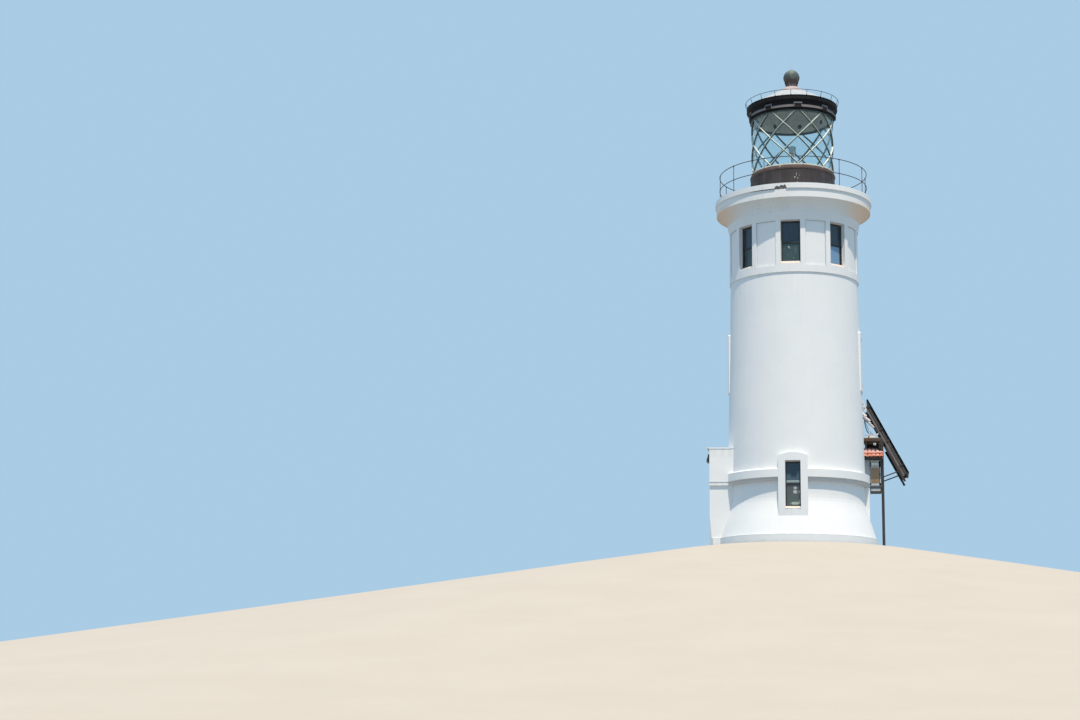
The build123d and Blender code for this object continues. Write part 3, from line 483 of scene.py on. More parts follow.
def painted_iron(
    name, paint, worn, rust, amount, rough, streaks, grain, droppings, seed, band=None, shine=0.45
):
    """Old paint on iron: worn paler in patches, rust coming through, and sometimes white runs."""
    f = Finish(name, 0.6, specular=shine)
    wear = f.noise(grain * 0.35, 6, 0.7, shift=seed)
    colour = f.mix(f.mask(wear, 0.4, 0.72), paint, worn)
    if band:
        low, high, pale = band
        colour = f.over(colour, f.band(low, high, 0.003), f.blend(wear, 0.65, 1.0), pale)
    rusting = f.noise(grain, 7, 0.72, (1, 1, 0.45), seed + 5.0)
    bloom = f.mask(rusting, 0.66 - 0.22 * amount, 0.76 - 0.16 * amount)
    colour = f.mix(bloom, colour, f.mix(f.noise(grain * 4, 3), rust, tuple(c * 0.5 for c in rust)))
    if streaks:
        run = f.mask(f.noise(grain * 0.9, 5, 0.6, (1, 1, 0.06), seed + 8.0), 0.52, 0.74)
        colour = f.over(colour, run, streaks, tuple(min(1.0, c * 2.2 + 0.03) for c in worn))
    if droppings:
        splat = f.mask(f.cells(3.2, stretch=(1, 1, 0.55), shift=seed + 2.0, wobble=0.1), 0.1, 0.06)
        some = f.mask(f.noise(1.7, 2, shift=seed + 13.0), 0.52, 0.6)
        colour = f.over(colour, f.times(splat, some), droppings, (0.62, 0.61, 0.56))
    gloss = f.plus(f.blend(wear, *rough), bloom, 0.15)
    height = f.plus(f.times(bloom, 0.5), f.noise(grain * 9, 3), 0.3)
    return f.done(colour, gloss, height, 0.0015, 0.7)


base_iron = painted_iron(
    "base_iron", (0.03, 0.025, 0.026), (0.05, 0.041, 0.041), (0.085, 0.045, 0.034), 0.3, (0.5, 0.8), 0.18,
    6.0, 0.35, 1.0
)
cornice_iron = painted_iron(
    "cornice_iron", (0.009, 0.01, 0.012), (0.018, 0.017, 0.018), (0.04, 0.027, 0.022), 0.22, (0.5, 0.8),
    0.06, 7.0, 0.0, 3.0, (15.099, 15.187, (0.27, 0.235, 0.235)), 0.12
)
ring_iron = painted_iron(
    "ring_iron", (0.25, 0.21, 0.205), (0.36, 0.31, 0.3), (0.14, 0.075, 0.055), 0.35, (0.55, 0.85), 0.35,
    9.0, 0.4, 5.0
)
hood_iron = painted_iron(
    "hood_iron", (0.115, 0.115, 0.13), (0.2, 0.195, 0.21), (0.075, 0.05, 0.045), 0.3, (0.55, 0.85), 0.25,
    9.0, 0.0, 5.5
)
# painted shade: near-black for the dark inside of the ventilators' mouths and registers
vent_opening_shade = painted_iron(
    "vent_opening_shade", (0.006, 0.006, 0.007), (0.012, 0.011, 0.011), (0.02, 0.014, 0.012), 0.2, (0.7, 0.9), 0.0, 9.0,
    0.0, 6.5, None, 0.1
)
sill_iron = painted_iron(
    "sill_iron", (0.075, 0.046, 0.04), (0.13, 0.09, 0.08), (0.13, 0.06, 0.038), 0.55, (0.6, 0.9), 0.3, 10.0,
    0.5, 7.0
)
seat_iron = painted_iron(
    "seat_iron", (0.55, 0.44, 0.43), (0.64, 0.56, 0.55), (0.28, 0.17, 0.13), 0.25, (0.6, 0.9), 0.3, 14.0,
    0.0, 2.0, (16.262, 16.7, (0.05, 0.032, 0.028)), 0.3
)
rail_iron = painted_iron(
    "rail_iron", (0.022, 0.019, 0.02), (0.05, 0.04, 0.038), (0.15, 0.06, 0.035), 0.5, (0.45, 0.75), 0.0,
    16.0, 0.35, 4.0
)
post_iron = painted_iron(
    "post_iron", (0.045, 0.032, 0.03), (0.11, 0.075, 0.065), (0.2, 0.085, 0.05), 0.85, (0.6, 0.9), 0.2,
    18.0, 0.35, 9.0
)
rack_iron = painted_iron(
    "rack_iron", (0.03, 0.026, 0.027), (0.058, 0.046, 0.043), (0.11, 0.055, 0.035), 0.45, (0.5, 0.8), 0.2,
    9.0, 0.0, 6.0
)
lattice_cap = painted_iron(
    "lattice_cap", (0.62, 0.7, 0.63), (0.76, 0.8, 0.74), (0.42, 0.35, 0.25), 0.1, (0.45, 0.7), 0.25, 12.0,
    0.0, 8.0
)
# painted shade: a dark copy of the lattice paint for the bars' sides and body, the crossing bolts and the top rim
lattice_side_shade = painted_iron(
    "lattice_side_shade", (0.055, 0.085, 0.082), (0.115, 0.15, 0.14), (0.1, 0.07, 0.05), 0.25, (0.5, 0.8), 0.0,
    14.0, 0.0, 8.5
)
rim_paint = painted_iron(
    "rim_paint", (0.56, 0.58, 0.46), (0.7, 0.69, 0.57), (0.3, 0.2, 0.11), 0.45, (0.5, 0.8), 0.3, 13.0, 0.0,
    10.0
)
lining_paint = painted_iron(
    "lining_paint", (0.47, 0.48, 0.46), (0.56, 0.57, 0.55), (0.33, 0.28, 0.23), 0.1, (0.6, 0.85), 0.3, 5.0,
    0.0, 12.0
)
sash_paint = painted_iron(
    "sash_paint", (0.022, 0.03, 0.032), (0.05, 0.066, 0.066), (0.16, 0.13, 0.1), 0.3, (0.5, 0.8), 0.0, 17.0,
    0.0, 14.0
)
door_paint = painted_iron(
    "door_paint", (0.04, 0.062, 0.055), (0.075, 0.1, 0.088), (0.17, 0.14, 0.1), 0.3, (0.5, 0.8), 0.3, 12.0,
    0.0, 15.0
)
lamp_paint = painted_iron(
    "lamp_paint", (0.028, 0.028, 0.03), (0.06, 0.058, 0.055), (0.12, 0.06, 0.035), 0.45, (0.45, 0.75), 0.0,
    20.0, 0.0, 16.0
)
grey_paint = painted_iron(
    "cabinet_paint", (0.5, 0.535, 0.545), (0.4, 0.43, 0.44), (0.3, 0.2, 0.13), 0.18, (0.45, 0.7), 0.3, 8.0,
    0.0, 18.0
)
slate_paint = painted_iron(
    "slate_paint", (0.055, 0.065, 0.085), (0.085, 0.095, 0.115), (0.1, 0.06, 0.04), 0.25, (0.45, 0.7), 0.1,
    9.0, 0.0, 19.0
)
seam_paint = painted_iron(
    "seam_paint", (0.42, 0.43, 0.44), (0.52, 0.53, 0.53), (0.36, 0.31, 0.26), 0.15, (0.75, 0.9), 0.2, 9.0,
    0.0, 21.0
)
pink_paint = painted_iron(
    "pink_paint", (0.66, 0.56, 0.56), (0.74, 0.68, 0.68), (0.36, 0.22, 0.17), 0.35, (0.55, 0.8), 0.2, 16.0,
    0.0, 23.0
)
white_paint = painted_iron(
    "bracket_paint", (0.8, 0.8, 0.79), (0.7, 0.69, 0.67), (0.34, 0.22, 0.15), 0.3, (0.5, 0.75), 0.25, 12.0,
    0.0, 20.0
)
beacon_paint = painted_iron(
    "beacon_paint", (0.5, 0.6, 0.66), (0.58, 0.68, 0.73), (0.3, 0.24, 0.2), 0.12, (0.4, 0.7), 0.1, 14.0,
    0.0, 22.0
)
brass = painted_iron(
    "brass", (0.32, 0.23, 0.1), (0.24, 0.17, 0.08), (0.13, 0.16, 0.11), 0.4, (0.3, 0.55), 0.0, 30.0, 0.0,
    24.0
)
brass.shader.inputs["Metallic"].default_value = 0.85

f = aluminium = Finish("rail_aluminium", 0.55, 0.3)
brushed = f.noise(30.0, 4, 0.6, (0.25, 1, 1))
colour = f.mix(brushed, (0.15, 0.14, 0.13), (0.215, 0.2, 0.185))
colour = f.mix(f.mask(f.noise(4.0, 6, 0.7), 0.42, 0.7), colour, (0.105, 0.09, 0.08))
f.done(colour, f.blend(brushed, 0.42, 0.65), brushed, 0.0006)

f = rod_metal = Finish("rod_metal", 0.42, 0.6)
colour = f.mix(f.noise(40.0, 4, 0.6, (1, 1, 0.3)), (0.58, 0.6, 0.61), (0.78, 0.79, 0.79))
f.done(colour, f.blend(f.noise(18.0), 0.35, 0.6))

f = patina_and_highlight = Finish("ball_patina", 0.6, 0.25)
blotch = f.noise(7.0, 7, 0.7)
colour = f.mix(f.mask(blotch, 0.38, 0.66), (0.06, 0.075, 0.07), (0.135, 0.165, 0.155))
# painted highlight: the top of the ball lighter; below, darker and browner towards the bottom
colour = f.over(colour, f.mask(f.plus(f.z, blotch, 0.16), 16.8, 16.98), 0.55, (0.25, 0.29, 0.275))
colour = f.over(colour, f.mask(f.plus(f.z, blotch, 0.22), 16.74, 16.6), 0.85, (0.075, 0.05, 0.04))
drip = f.mask(f.noise(16.0, 5, 0.6, (1, 1, 0.1), 3.0), 0.55, 0.72)
colour = f.over(colour, drip, 0.35, (0.17, 0.125, 0.1))
f.done(colour, f.blend(blotch, 0.45, 0.75), f.noise(38.0, 4), 0.002, 0.5)

f = roof_paint = Finish("roof_paint", 0.7, specular=0.35)
flake = f.noise(6.0, 7, 0.72)
colour = f.mix(f.mask(flake, 0.45, 0.75), (0.52, 0.53, 0.53), (0.42, 0.43, 0.43))
colour = f.over(colour, f.mask(f.plus(f.z, flake, 0.22), 16.02, 16.24), 0.7, (0.56, 0.42, 0.41))
soiled = f.mask(f.noise(14.0, 6, 0.75, shift=6.0), 0.6, 0.72)
colour = f.over(colour, soiled, 0.45, (0.5, 0.47, 0.41))
dots = f.times(f.mask(f.cells(9.0, wobble=0.05), 0.3, 0.2), f.mask(f.noise(2.5, 4, shift=3.0), 0.4, 0.55))
colour = f.over(colour, dots, 0.8, (0.13, 0.13, 0.12))
colour = f.over(colour, f.mask(f.plus(f.z, flake, 0.06), 15.565, 15.535), 0.8, (0.17, 0.19, 0.135))
f.done(colour, f.blend(flake, 0.6, 0.85), flake, 0.003, 0.6)

f = timber = Finish("rack_boards", 0.85, specular=0.25)
grain = f.noise(7.0, 8, 0.7, (0.12, 1.0, 1.0))
colour = f.mix(f.mask(grain, 0.38, 0.68), (0.085, 0.052, 0.038), (0.215, 0.15, 0.115))
f.done(colour, f.blend(grain, 0.75, 0.95), grain, 0.003)

f = clay = Finish("roof_tiles", 0.8, specular=0.3)
tone = f.noise(5.0, 4, shift=2.0)
colour = f.mix(f.mask(tone, 0.38, 0.62), (0.5, 0.145, 0.075), (0.68, 0.3, 0.21))
colour = f.over(colour, f.mask(f.cells(7.6, stretch=(1, 0.55, 1)), 0.25, 0.6), 0.35, (0.42, 0.13, 0.08))
# painted highlight: the tiles near the ridge lighter and pinker
colour = f.over(colour, f.mask(f.plus(f.z, tone, 0.2), 3.42, 3.52), 0.75, (0.72, 0.5, 0.46))
bloom = f.mask(f.noise(13.0, 6, 0.7, shift=9.0), 0.5, 0.68)
colour = f.over(colour, bloom, 0.6, (0.8, 0.64, 0.6))
f.done(colour, f.blend(tone, 0.7, 0.9), f.noise(50.0, 5), 0.002)


def dark_glass(name, low, high, dirt, rough=0.08, smear=0.25):
    """Old window glass, opaque, with painted shade for the dark room behind it; tint changes slowly, with dust and
    dried runs. The sky pane's colours are a painted reflection of the sky.
    """
    f = Finish(name, rough, specular=0.6)
    film = f.mask(f.noise(9.0, 6, 0.7, (1, 1, 0.35)), 0.46, 0.78)
    colour = f.over(f.mix(f.noise(1.6, 3), low, high), film, smear, dirt)
    return f.done(colour, f.blend(film, rough, rough + 0.28))


pane_dark = dark_glass("pane_dark", (0.012, 0.028, 0.048), (0.022, 0.046, 0.074), (0.07, 0.1, 0.12))
pane_dusty = dark_glass("pane_dusty", (0.026, 0.052, 0.056), (0.048, 0.088, 0.088), (0.14, 0.2, 0.19), 0.15, 0.5)
# painted reflection: the sky's blue on the lower pane of the watch window at 45 degrees
pane_sky_reflection = dark_glass("pane_sky_reflection", (0.14, 0.27, 0.43), (0.2, 0.34, 0.5), (0.34, 0.38, 0.36), 0.1, 0.35)
amber_glass = dark_glass("cabinet_glass", (0.24, 0.145, 0.065), (0.36, 0.23, 0.115), (0.34, 0.3, 0.25), 0.14, 0.3)

# Panes of the low front window: pale blocks behind the upper one and a painted reflection at its foot, pale blots
# on the lower one

f = pane_front = Finish("pane_front", 0.09, specular=0.6)


def blot(x, z, wide, tall):
    """A patch with a ragged edge on the front panes, by its middle and half sizes."""
    across = f.calc("DIVIDE", f.calc("SUBTRACT", f.x, x), wide)
    up = f.calc("DIVIDE", f.calc("SUBTRACT", f.z, z), tall)
    far = f.calc("SQRT", f.plus(f.times(across, across), f.times(up, up)))
    return f.mask(f.plus(far, f.noise(26.0, 4, shift=x + z), 0.7), 1.5, 1.15)


upper = f.mix(f.noise(3.0, 3), (0.018, 0.042, 0.066), (0.026, 0.056, 0.084))
left_block = f.times(f.band(2.1, 2.31, 0.008), f.mask(f.x, -0.065, -0.08))
right_block = f.times(f.band(2.1, 2.37, 0.008), f.mask(f.x, 0.105, 0.12))
blocks = f.calc("MAXIMUM", f.calc("MAXIMUM", left_block, right_block), f.band(2.1, 2.17, 0.02))
upper = f.over(upper, blocks, 0.8, (0.07, 0.122, 0.155))
# painted reflection: a pale strip at the foot of the upper pane
reflection_strip = f.times(f.band(2.005, 2.08, 0.008), f.mask(f.noise(11.0, 5), 0.28, 0.42))
upper = f.over(upper, reflection_strip, 0.9, (0.36, 0.44, 0.45))
lower = f.mix(f.mask(f.z, 1.9, 1.3), (0.105, 0.105, 0.115), (0.09, 0.125, 0.115))
lower = f.over(lower, f.noise(18.0, 5), 0.5, (0.06, 0.075, 0.08))
for x, z, wide, tall in (
    (0.06, 1.829, 0.055, 0.048),
    (0.06, 1.699, 0.07, 0.06),
    (0.195, 1.7, 0.02, 0.055),
    (0.195, 1.383, 0.018, 0.06),
):
    lower = f.over(lower, blot(x, z, wide, tall), 0.8, (0.52, 0.58, 0.57))
lower = f.mix(blot(0.07, 1.325, 0.15, 0.045), lower, (0.36, 0.45, 0.4))
upper_part = f.mask(f.z, 1.955, 1.965)
f.done(f.mix(upper_part, lower, upper), f.blend(upper_part, 0.3, 0.09))

f = lantern_glass = Finish("lantern_glass", 0.03)
f.shader.inputs["IOR"].default_value = 1.45
f.shader.inputs["Transmission Weight"].default_value = 1.0
salt = f.mask(f.noise(3.0, 6, 0.7, (1, 1, 0.25)), 0.4, 0.85)
f.done(f.mix(salt, (0.86, 0.945, 0.955), (0.78, 0.88, 0.89)), f.blend(salt, 0.02, 0.1))

f = lens_glass = Finish("beacon_lens", 0.06)
f.shader.inputs["IOR"].default_value = 1.45
f.shader.inputs["Transmission Weight"].default_value = 0.75
colour = f.mix(f.noise(12.0), (0.66, 0.78, 0.8), (0.8, 0.88, 0.88))
f.done(colour, f.blend(f.noise(20.0), 0.04, 0.12))

# Solar cells: seams and fingers measured down and across the sloping array

slope = math.radians(62.2)
down_way = Vector((math.cos(slope), 0, -math.sin(slope)))
array_top = Vector((2.43, 0.85, 5.233))
module_pitch = 0.725
f = cells = Finish("solar_cells", 0.16, specular=0.6)
apart = f.add("ShaderNodeVectorMath", {"operation": "SUBTRACT"}, Vector=f.place)
apart.inputs[1].default_value = array_top
along = f.add("ShaderNodeVectorMath", {"operation": "DOT_PRODUCT"}, Vector=apart.outputs[0])
along.inputs[1].default_value = down_way
down = along.outputs["Value"]
across = f.calc("SUBTRACT", f.y, array_top.y)


def grid_line(value, pitch, width, offset=0.0):
    part = f.calc("FRACT", f.calc("DIVIDE", f.calc("ADD", value, offset), pitch))
    return f.calc("LESS_THAN", part, width / pitch)


seams = f.calc("MAXIMUM", grid_line(down, module_pitch / 4, 0.004, -0.01), grid_line(across, 0.16, 0.004, -0.02))
fingers = f.calc("MAXIMUM", grid_line(across, 0.16 / 3, 0.0018), grid_line(down, 0.011, 0.0012))
dust = f.mask(f.noise(5.0, 6, 0.7), 0.4, 0.8)
colour = f.mix(f.noise(24.0, 3), (0.008, 0.012, 0.034), (0.016, 0.026, 0.062))
colour = f.over(colour, fingers, 0.25, (0.16, 0.18, 0.22))
colour = f.mix(seams, colour, (0.24, 0.25, 0.27))
f.done(f.over(colour, dust, 0.14, (0.25, 0.23, 0.2)), f.blend(dust, 0.12, 0.34))

f = module_back = Finish("module_back", 0.7)
f.done(f.mix(f.noise(6.0, 5), (0.018, 0.02, 0.032), (0.042, 0.042, 0.058)), None, f.noise(40.0), 0.001)

f = dropping = Finish("dropping", 0.85, specular=0.2)
f.done(f.mix(f.noise(60.0, 4), (0.55, 0.54, 0.49), (0.8, 0.79, 0.75)), None, f.noise(90.0), 0.002)


# Materials on the CAD pieces that keep their own shape

dressed = {
    wall_paint: ("shaft_wall_front", "shaft_wall_right", "shaft_wall_back", "shaft_wall_left", "base_pilaster"),
    belt_paint: ("belt_course",),
    surround_paint: ("window_surrounds",),
    drum_paint: ("watch_room_wall_front", "watch_room_wall_right", "watch_room_wall_back", "watch_room_wall_left"),
    cove_paint: ("gallery_cornice",),
    slab_paint: ("gallery_deck",),
    portal_paint: ("portal_front_pier", "portal_back_pier", "portal_lintel", "portal_coping"),
    concrete: ("ground_floor", "watch_room_floor"),
    door_paint: ("door_frame",),
    rail_iron: ("gallery_rail_top", "gallery_rail_middle", "roof_rail", "roof_rail_stays"),
    post_iron: ("gallery_posts",),
    base_iron: ("lantern_base",),
    sill_iron: ("lantern_sill",),
    cornice_iron: ("lantern_cornice",),
    seat_iron: ("ball_seat",),
    lantern_glass: ("lantern_glass",),
    roof_paint: ("lantern_roof",),
    patina_and_highlight: ("ball_vent",),
    rod_metal: ("lightning_rod",),
    beacon_paint: ("beacon_post",),
    rack_iron: ("rack_posts", "rack_beams", "rack_brace", "array_purlins", "array_frame", "cabinet_roof"),
    aluminium: ("array_rails",),
    white_paint: ("array_bracket",),
    grey_paint: ("cabinet",),
    cells: ("solar_panels",),
}
for finish, names in dressed.items():
    for name in names:
        for holder in nodes[name].material_slots:
            holder.material = finish.material
nodes["lantern_glass"].visible_shadow = False


# Sash windows: (phi, outer face of the sash, width, sill, head)

windows = [(phi, 2.282, 0.5, 1.141, 2.716) for phi in (0.0, 180.0)]
windows += [(phi, 2.101, 0.5, 5.561, 7.136) for phi in (90.0, 270.0)]
windows += [(45.0 * k, 2.04, 0.663, 9.385, 10.895) for k in range(8)]
pane_corners = ((-1, 0), (1, 0), (1, 1), (-1, 1))

joinery, glazing, sills, hardware = (bmesh.new() for _ in range(4))
for place, (phi, face, width, sill, head) in enumerate(windows):
    low_down, watch = place < 2, place > 3
    axes = wall_axes(phi)
    half = width / 2
    middle = (sill + head) / 2 + (0.035 if low_down else 0)
    jamb_wide, stile_wide = (0.028, 0.04) if watch else (0.014, 0.022)
    inner = half - jamb_wide
    clear = inner - stile_wide
    pair(joinery, axes, inner, half, (face - 0.062, face), (sill, head))
    pair(joinery, axes, inner - 0.012, inner, (face - 0.012, face - 0.002), (sill + 0.02, head - 0.02))
    box(joinery, axes, (-half, half), (face - 0.062, face), (head - 0.028, head))
    box(joinery, axes, (-half, half), (face - 0.07, face + 0.004), (sill, sill + 0.024))
    for low, high, out, bottom, top, upper in (
        (middle - 0.02, head - 0.028, face - 0.014, 0.04, 0.046, True),
        (sill + 0.024, middle + 0.02, face - 0.04, 0.066, 0.04, False),
    ):
        pair(joinery, axes, clear, inner, (out - 0.022, out), (low, high))
        for z in ((low, low + bottom), (high - top, high)):
            box(joinery, axes, (-clear, clear), (out - 0.022, out), z)
        glass_low, glass_high = low + bottom - 0.004, high - top + 0.004
        lean = dice.uniform(-0.004, 0.004)
        twist = dice.uniform(-0.003, 0.003)
        rings = []
        for depth in (out - 0.014, out - 0.008):
            ring = []
            for u, w in pane_corners:
                push = lean * (w - 0.5) + twist * u
                ring.append(at(axes, u * (clear + 0.003), depth + push, glass_high if w else glass_low))
            rings.append(ring)
        loft(glazing, rings, 3 if low_down else 0 if upper else 2 if place == 5 else 1)
        for z in (glass_low + 0.004, glass_high - 0.012):
            box(joinery, axes, (-clear, clear), (out - 0.008, out - 0.002), (z, z + 0.008))
    lens(hardware, at(axes, 0, face - 0.038, middle + 0.004), axes[2], 0.016, 0.012)
    for side in (-1, 1):
        lift = at(axes, side * inner * 0.5, face - 0.04, sill + 0.055)
        box(hardware, (lift, *axes[1:]), (-0.028, 0.028), (0, 0.012), (-0.006, 0.006))
    reach = 2.192 if watch else 2.468 if low_down else 2.287
    height = 0.112 if watch else 0.085
    rings = []
    for across in (-half, -half * 0.34, half * 0.31, half):
        drop = dice.uniform(-0.003, 0.003)
        outline = [(face - 0.01, 0.0), (face - 0.01, height + drop), (reach - 0.03, 0.022 + drop)]
        outline += [(reach - 0.006 + drop, 0.014), (reach - 0.002 + drop, 0.0)]
        rings.append([at(axes, across, r, sill + up) for r, up in outline])
    loft(sills, rings, 1 if place == 0 else 2 if watch else 0)
    outer = math.sqrt((2.212 if watch else reach) ** 2 - half**2) - 0.012
    lining_z = (head - (0.022 if watch else 0.03), head - 0.001)
    box(sills, axes, (0.002 - half, half - 0.002), (face + 0.001, min(outer, face + 0.03)), lining_z, 2)
    if watch:
        pair(sills, axes, half - 0.016, half - 0.001, (face + 0.001, face + 0.022), (sill + 0.08, lining_z[0]), 2)

piece("window_joinery", joinery, [sash_paint], bevel=0.0025, replaces=("window_sashes",))
panes = [pane_dark, pane_dusty, pane_sky_reflection, pane_front]
piece("window_panes", glazing, panes, replaces=("window_glass",))
piece("window_sills", sills, [surround_paint, cream, lining_cream], bevel=0.003)
piece("sash_hardware", hardware, [brass], bevel=0.001)


# Sunk panels of the watch room: a thin bead along each edge

beads = bmesh.new()
arc = math.degrees(0.012 / 2.163)
for k in range(8):
    first = 45.0 * k + 13.05
    for phi in (first, first + 18.9 - arc):
        turned(beads, bar(2.16, 2.17, 9.337, 10.884), 0, 2, phi, arc)
    for z in (9.336, 10.873):
        turned(beads, bar(2.16, 2.17, z, z + 0.012), 0, 16, first, 18.9)
piece("panel_beads", beads, [seam_paint], bevel=0.002)


# Broken edge of the gallery slab: rough core, loose lumps and rusty bars

rubble = bmesh.new()
columns, rows = 26, 9
rings = []
for i in range(columns + 1):
    phi = 9.8 * i / columns - 11.0
    line = []
    for j in range(rows + 1):
        edge = min(i, columns - i, 4) / 4
        r = 2.596 + dice.uniform(-0.006, 0.026) + 0.03 * (1 - edge)
        shift = dice.uniform(-0.06, 0.06)
        lift = dice.uniform(-0.006, 0.006) if 0 < j < rows else 0
        line.append(polar(r, phi + shift, 11.864 + 0.15 * j / rows + lift))
    rings.append(line + [polar(2.56, phi, z) for z in (12.014, 11.864)])
loft(rubble, rings)
for k in range(34):
    phi = -6.1 + dice.uniform(-4.3, 4.3)
    size = dice.uniform(0.01, 0.028)
    spot = polar(2.62 + dice.uniform(0, 0.035), phi, 11.866 + size * 0.7)
    made = bmesh.ops.create_icosphere(rubble, subdivisions=1, radius=size)
    for vert in made["verts"]:
        vert.co = spot + Vector([c * dice.uniform(0.65, 1.25) for c in vert.co])
for phi, z in ((-8.2, 11.925), (-4.1, 11.915)):
    steps = ((2.59, -0.7, 0), (2.622, -0.2, 0.004), (2.655, 0.25, 0.012))
    tube(rubble, [polar(r, phi + turn, z + up) for r, turn, up in steps], 0.007, 8, 1)
long_bar = []
for k in range(9):
    long_bar.append(polar(2.632 + 0.004 * math.sin(k), 8.2 * k / 8 - 10.2, 11.95 + 0.006 * math.sin(2.1 * k)))
tube(rubble, long_bar, 0.006, 8, 1)
piece("slab_break", rubble, [broken, sill_iron], sharp=25.0)

# Open joint between the slab and the fascia, ragged where the render has come away; the dark strip is also painted
# shade under the slab's lip

gap = bmesh.new()
rings = []
for k in range(121):
    phi = 27.5 * k / 120 - 30.0
    reach = math.sin(math.pi * min(1.0, k / 100)) * 0.6 + 0.4 * (k / 120)
    ragged = abs(math.sin(k * 0.71) * math.sin(k * 0.23 + 1))
    low = 11.866 - (0.006 + reach * (0.012 + 0.022 * ragged) + dice.uniform(0, 0.006))
    outline = ((2.64, 11.866), (2.6515, 11.866), (2.6512, low), (2.64, low))
    rings.append([polar(r, phi, z) for r, z in outline])
loft(gap, rings)
piece("open_joint_and_shade", gap, [dark_gap_and_shade])


# Gallery railing: collars where the rails meet the posts, and bolts in the feet

fittings = bmesh.new()
rail_r = 2.537
collar = [(0.02, 12.052), (0.0215, 12.06), (0.016, 12.078), (0.0105, 12.078), (0.0105, 12.052)]
for k in range(12):
    phi = 10.5 + 30.0 * k
    for n in range(4):
        a = math.radians(45 + 90 * n + phi)
        corner = Vector((0.031 * math.cos(a), 0.031 * math.sin(a), 0))
        bolt(fittings, polar(rail_r, phi, 12.0535) + corner, up_way, 0.0075, 0.009, 1)
    spun(fittings, collar, (polar(rail_r, phi, 0), *world_axes[1:]), 1, 16)
    for level in (12.51, 13.002):
        tube(fittings, [polar(rail_r, phi + t, level) for t in (-0.8, -0.62, 0.62, 0.8)], 0.0175, 14)
        lens(fittings, polar(rail_r + 0.0165, phi, level), polar(1, phi, 0), 0.008, 0.006, 0, 10, 3)
    tube(fittings, [polar(rail_r, phi, z) for z in (12.972, 12.99)], 0.0165, 12)
piece("rail_fittings", fittings, [rail_iron, post_iron], bevel=0.001)


# Lantern base: lapped plates with bolted strips, a foot angle and flange bolts under the sill

bays = [10.5 + 40.0 * k for k in range(9)]
plate_joints = [phi + 20.0 for phi in bays]
plates = bmesh.new()
half = math.degrees(0.036 / 1.456)
for phi in plate_joints:
    turned(plates, bar(1.45, 1.461, 12.075, 12.92), 0, 3, phi - half, 2 * half)
    for row in range(9):
        for side in (-1, 1):
            spot = polar(1.4605, phi + side * half * 0.55, 12.13 + 0.092 * row)
            bolt(plates, spot, polar(1, phi, 0), 0.0085, 0.008)
foot = [(1.45, 12.04), (1.5, 12.04), (1.5, 12.05), (1.462, 12.054), (1.462, 12.098), (1.45, 12.104)]
flange = [(1.45, 12.905), (1.47, 12.905), (1.473, 12.912), (1.473, 12.936), (1.45, 12.936)]
turned(plates, foot, 0, 144)
turned(plates, flange, 1, 144)
bolt_ring(plates, 54, 3.0, 1.482, 12.051, 0, (0.01, 0.012))
bolt_ring(plates, 54, 3.0, 1.4725, 12.922, 1, (0.0075, 0.007), 1)
piece("lantern_base_plates", plates, [base_iron, sill_iron], bevel=0.0015)


# Lattice: eighteen helical bars with a pale cap on a body painted dark as shade, bolted at every crossing

bars = bmesh.new()
half_profile = [(0.026, 1.386), (0.026, 1.411), (0.0175, 1.424), (0.016, 1.4315)]
profile = [(-side, r) for side, r in half_profile] + [(0.004, 1.4315)] + half_profile[::-1]
cap_sides = [1, 1, 1, 1, 0, 0, 0, 0, 1]
lean_angle = math.radians(45.1)
lattice_foot, lattice_rise = 13.1, 1.974
for bay in bays:
    for way in (-1, 1):
        rings = []
        for s in range(51):
            t = (s - 2) / 48
            phi = bay + way * 80.0 * t
            ring = []
            for side, r in profile:
                turn = math.degrees(-way * math.sin(lean_angle) * side / r)
                z = lattice_foot + lattice_rise * t + math.cos(lean_angle) * side
                ring.append(polar(r, phi + turn, min(max(z, 13.052), 15.022)))
            rings.append(ring)
        loft(bars, rings, cap_sides)
# the top rim takes the dark side paint, painted shade under the cornice
for far, near, soft, slot in ((13.05, 13.098, 13.08456, 2), (15.024, 14.976, 14.98944, 1)):
    rim = [(1.386, far), (1.4335, far), (1.4335, soft), (1.426, near), (1.386, near)]
    turned(bars, rim, slot, 144)
for row in range(5):
    for phi in plate_joints if row % 2 else bays:
        _, right, outward, up = wall_axes(phi)
        if 0 < row < 4:
            z = lattice_foot + lattice_rise * row / 4
            plate = ((1.424, 0.029), (1.4345, 0.027), (1.4365, 0.024))
            stack(bars, (up * z, right, up, outward), plate, 8)
            lens(bars, polar(1.4362, phi, z), outward, 0.01, 0.007, 1, 10, 3)
        else:
            for side in (-1, 1):
                spot = polar(1.4332, phi + side * 2.6, 15.0 if row else 13.074)
                lens(bars, spot, outward, 0.008, 0.006, 1, 10, 3)
lattice_paints = [lattice_cap, lattice_side_shade, rim_paint]
piece("lattice_bars", bars, lattice_paints, sharp=28.0, replaces=("lantern_lattice",))


# Inside the lantern: grey lining of the wall and ceiling, with battens and a collar

lining = bmesh.new()
wall_lining = [(1.301, 15.04), (1.305, 15.028), (1.3085, 15.028), (1.3085, 15.52), (1.302, 15.52)]
ceiling = [(1.3, 15.515), (1.3, 15.56), (0.345, 16.085), (0.33, 16.06), (0.33, 16.05), (1.29, 15.515)]
angle = [(1.296, 15.5), (1.3085, 15.5), (1.3085, 15.53), (1.29, 15.53)]
for outline in (wall_lining, ceiling, angle):
    turned(lining, outline, 0, 144)
turned(lining, bar(0.3, 0.375, 16.0, 16.075), 1, 60)
batten = ((-0.014, -0.01), (0.014, -0.01), (0.014, 0.016), (-0.014, 0.016))
for phi in bays + plate_joints:
    strip(lining, wall_axes(phi), batten, ((1.292, 15.516), (0.345, 16.04)))
bolt_ring(lining, 18, 20.5, 1.3035, 15.085, -1, (0.009, 0.008), 1)
piece("lantern_lining", lining, [lining_paint, ring_iron], bevel=0.002)
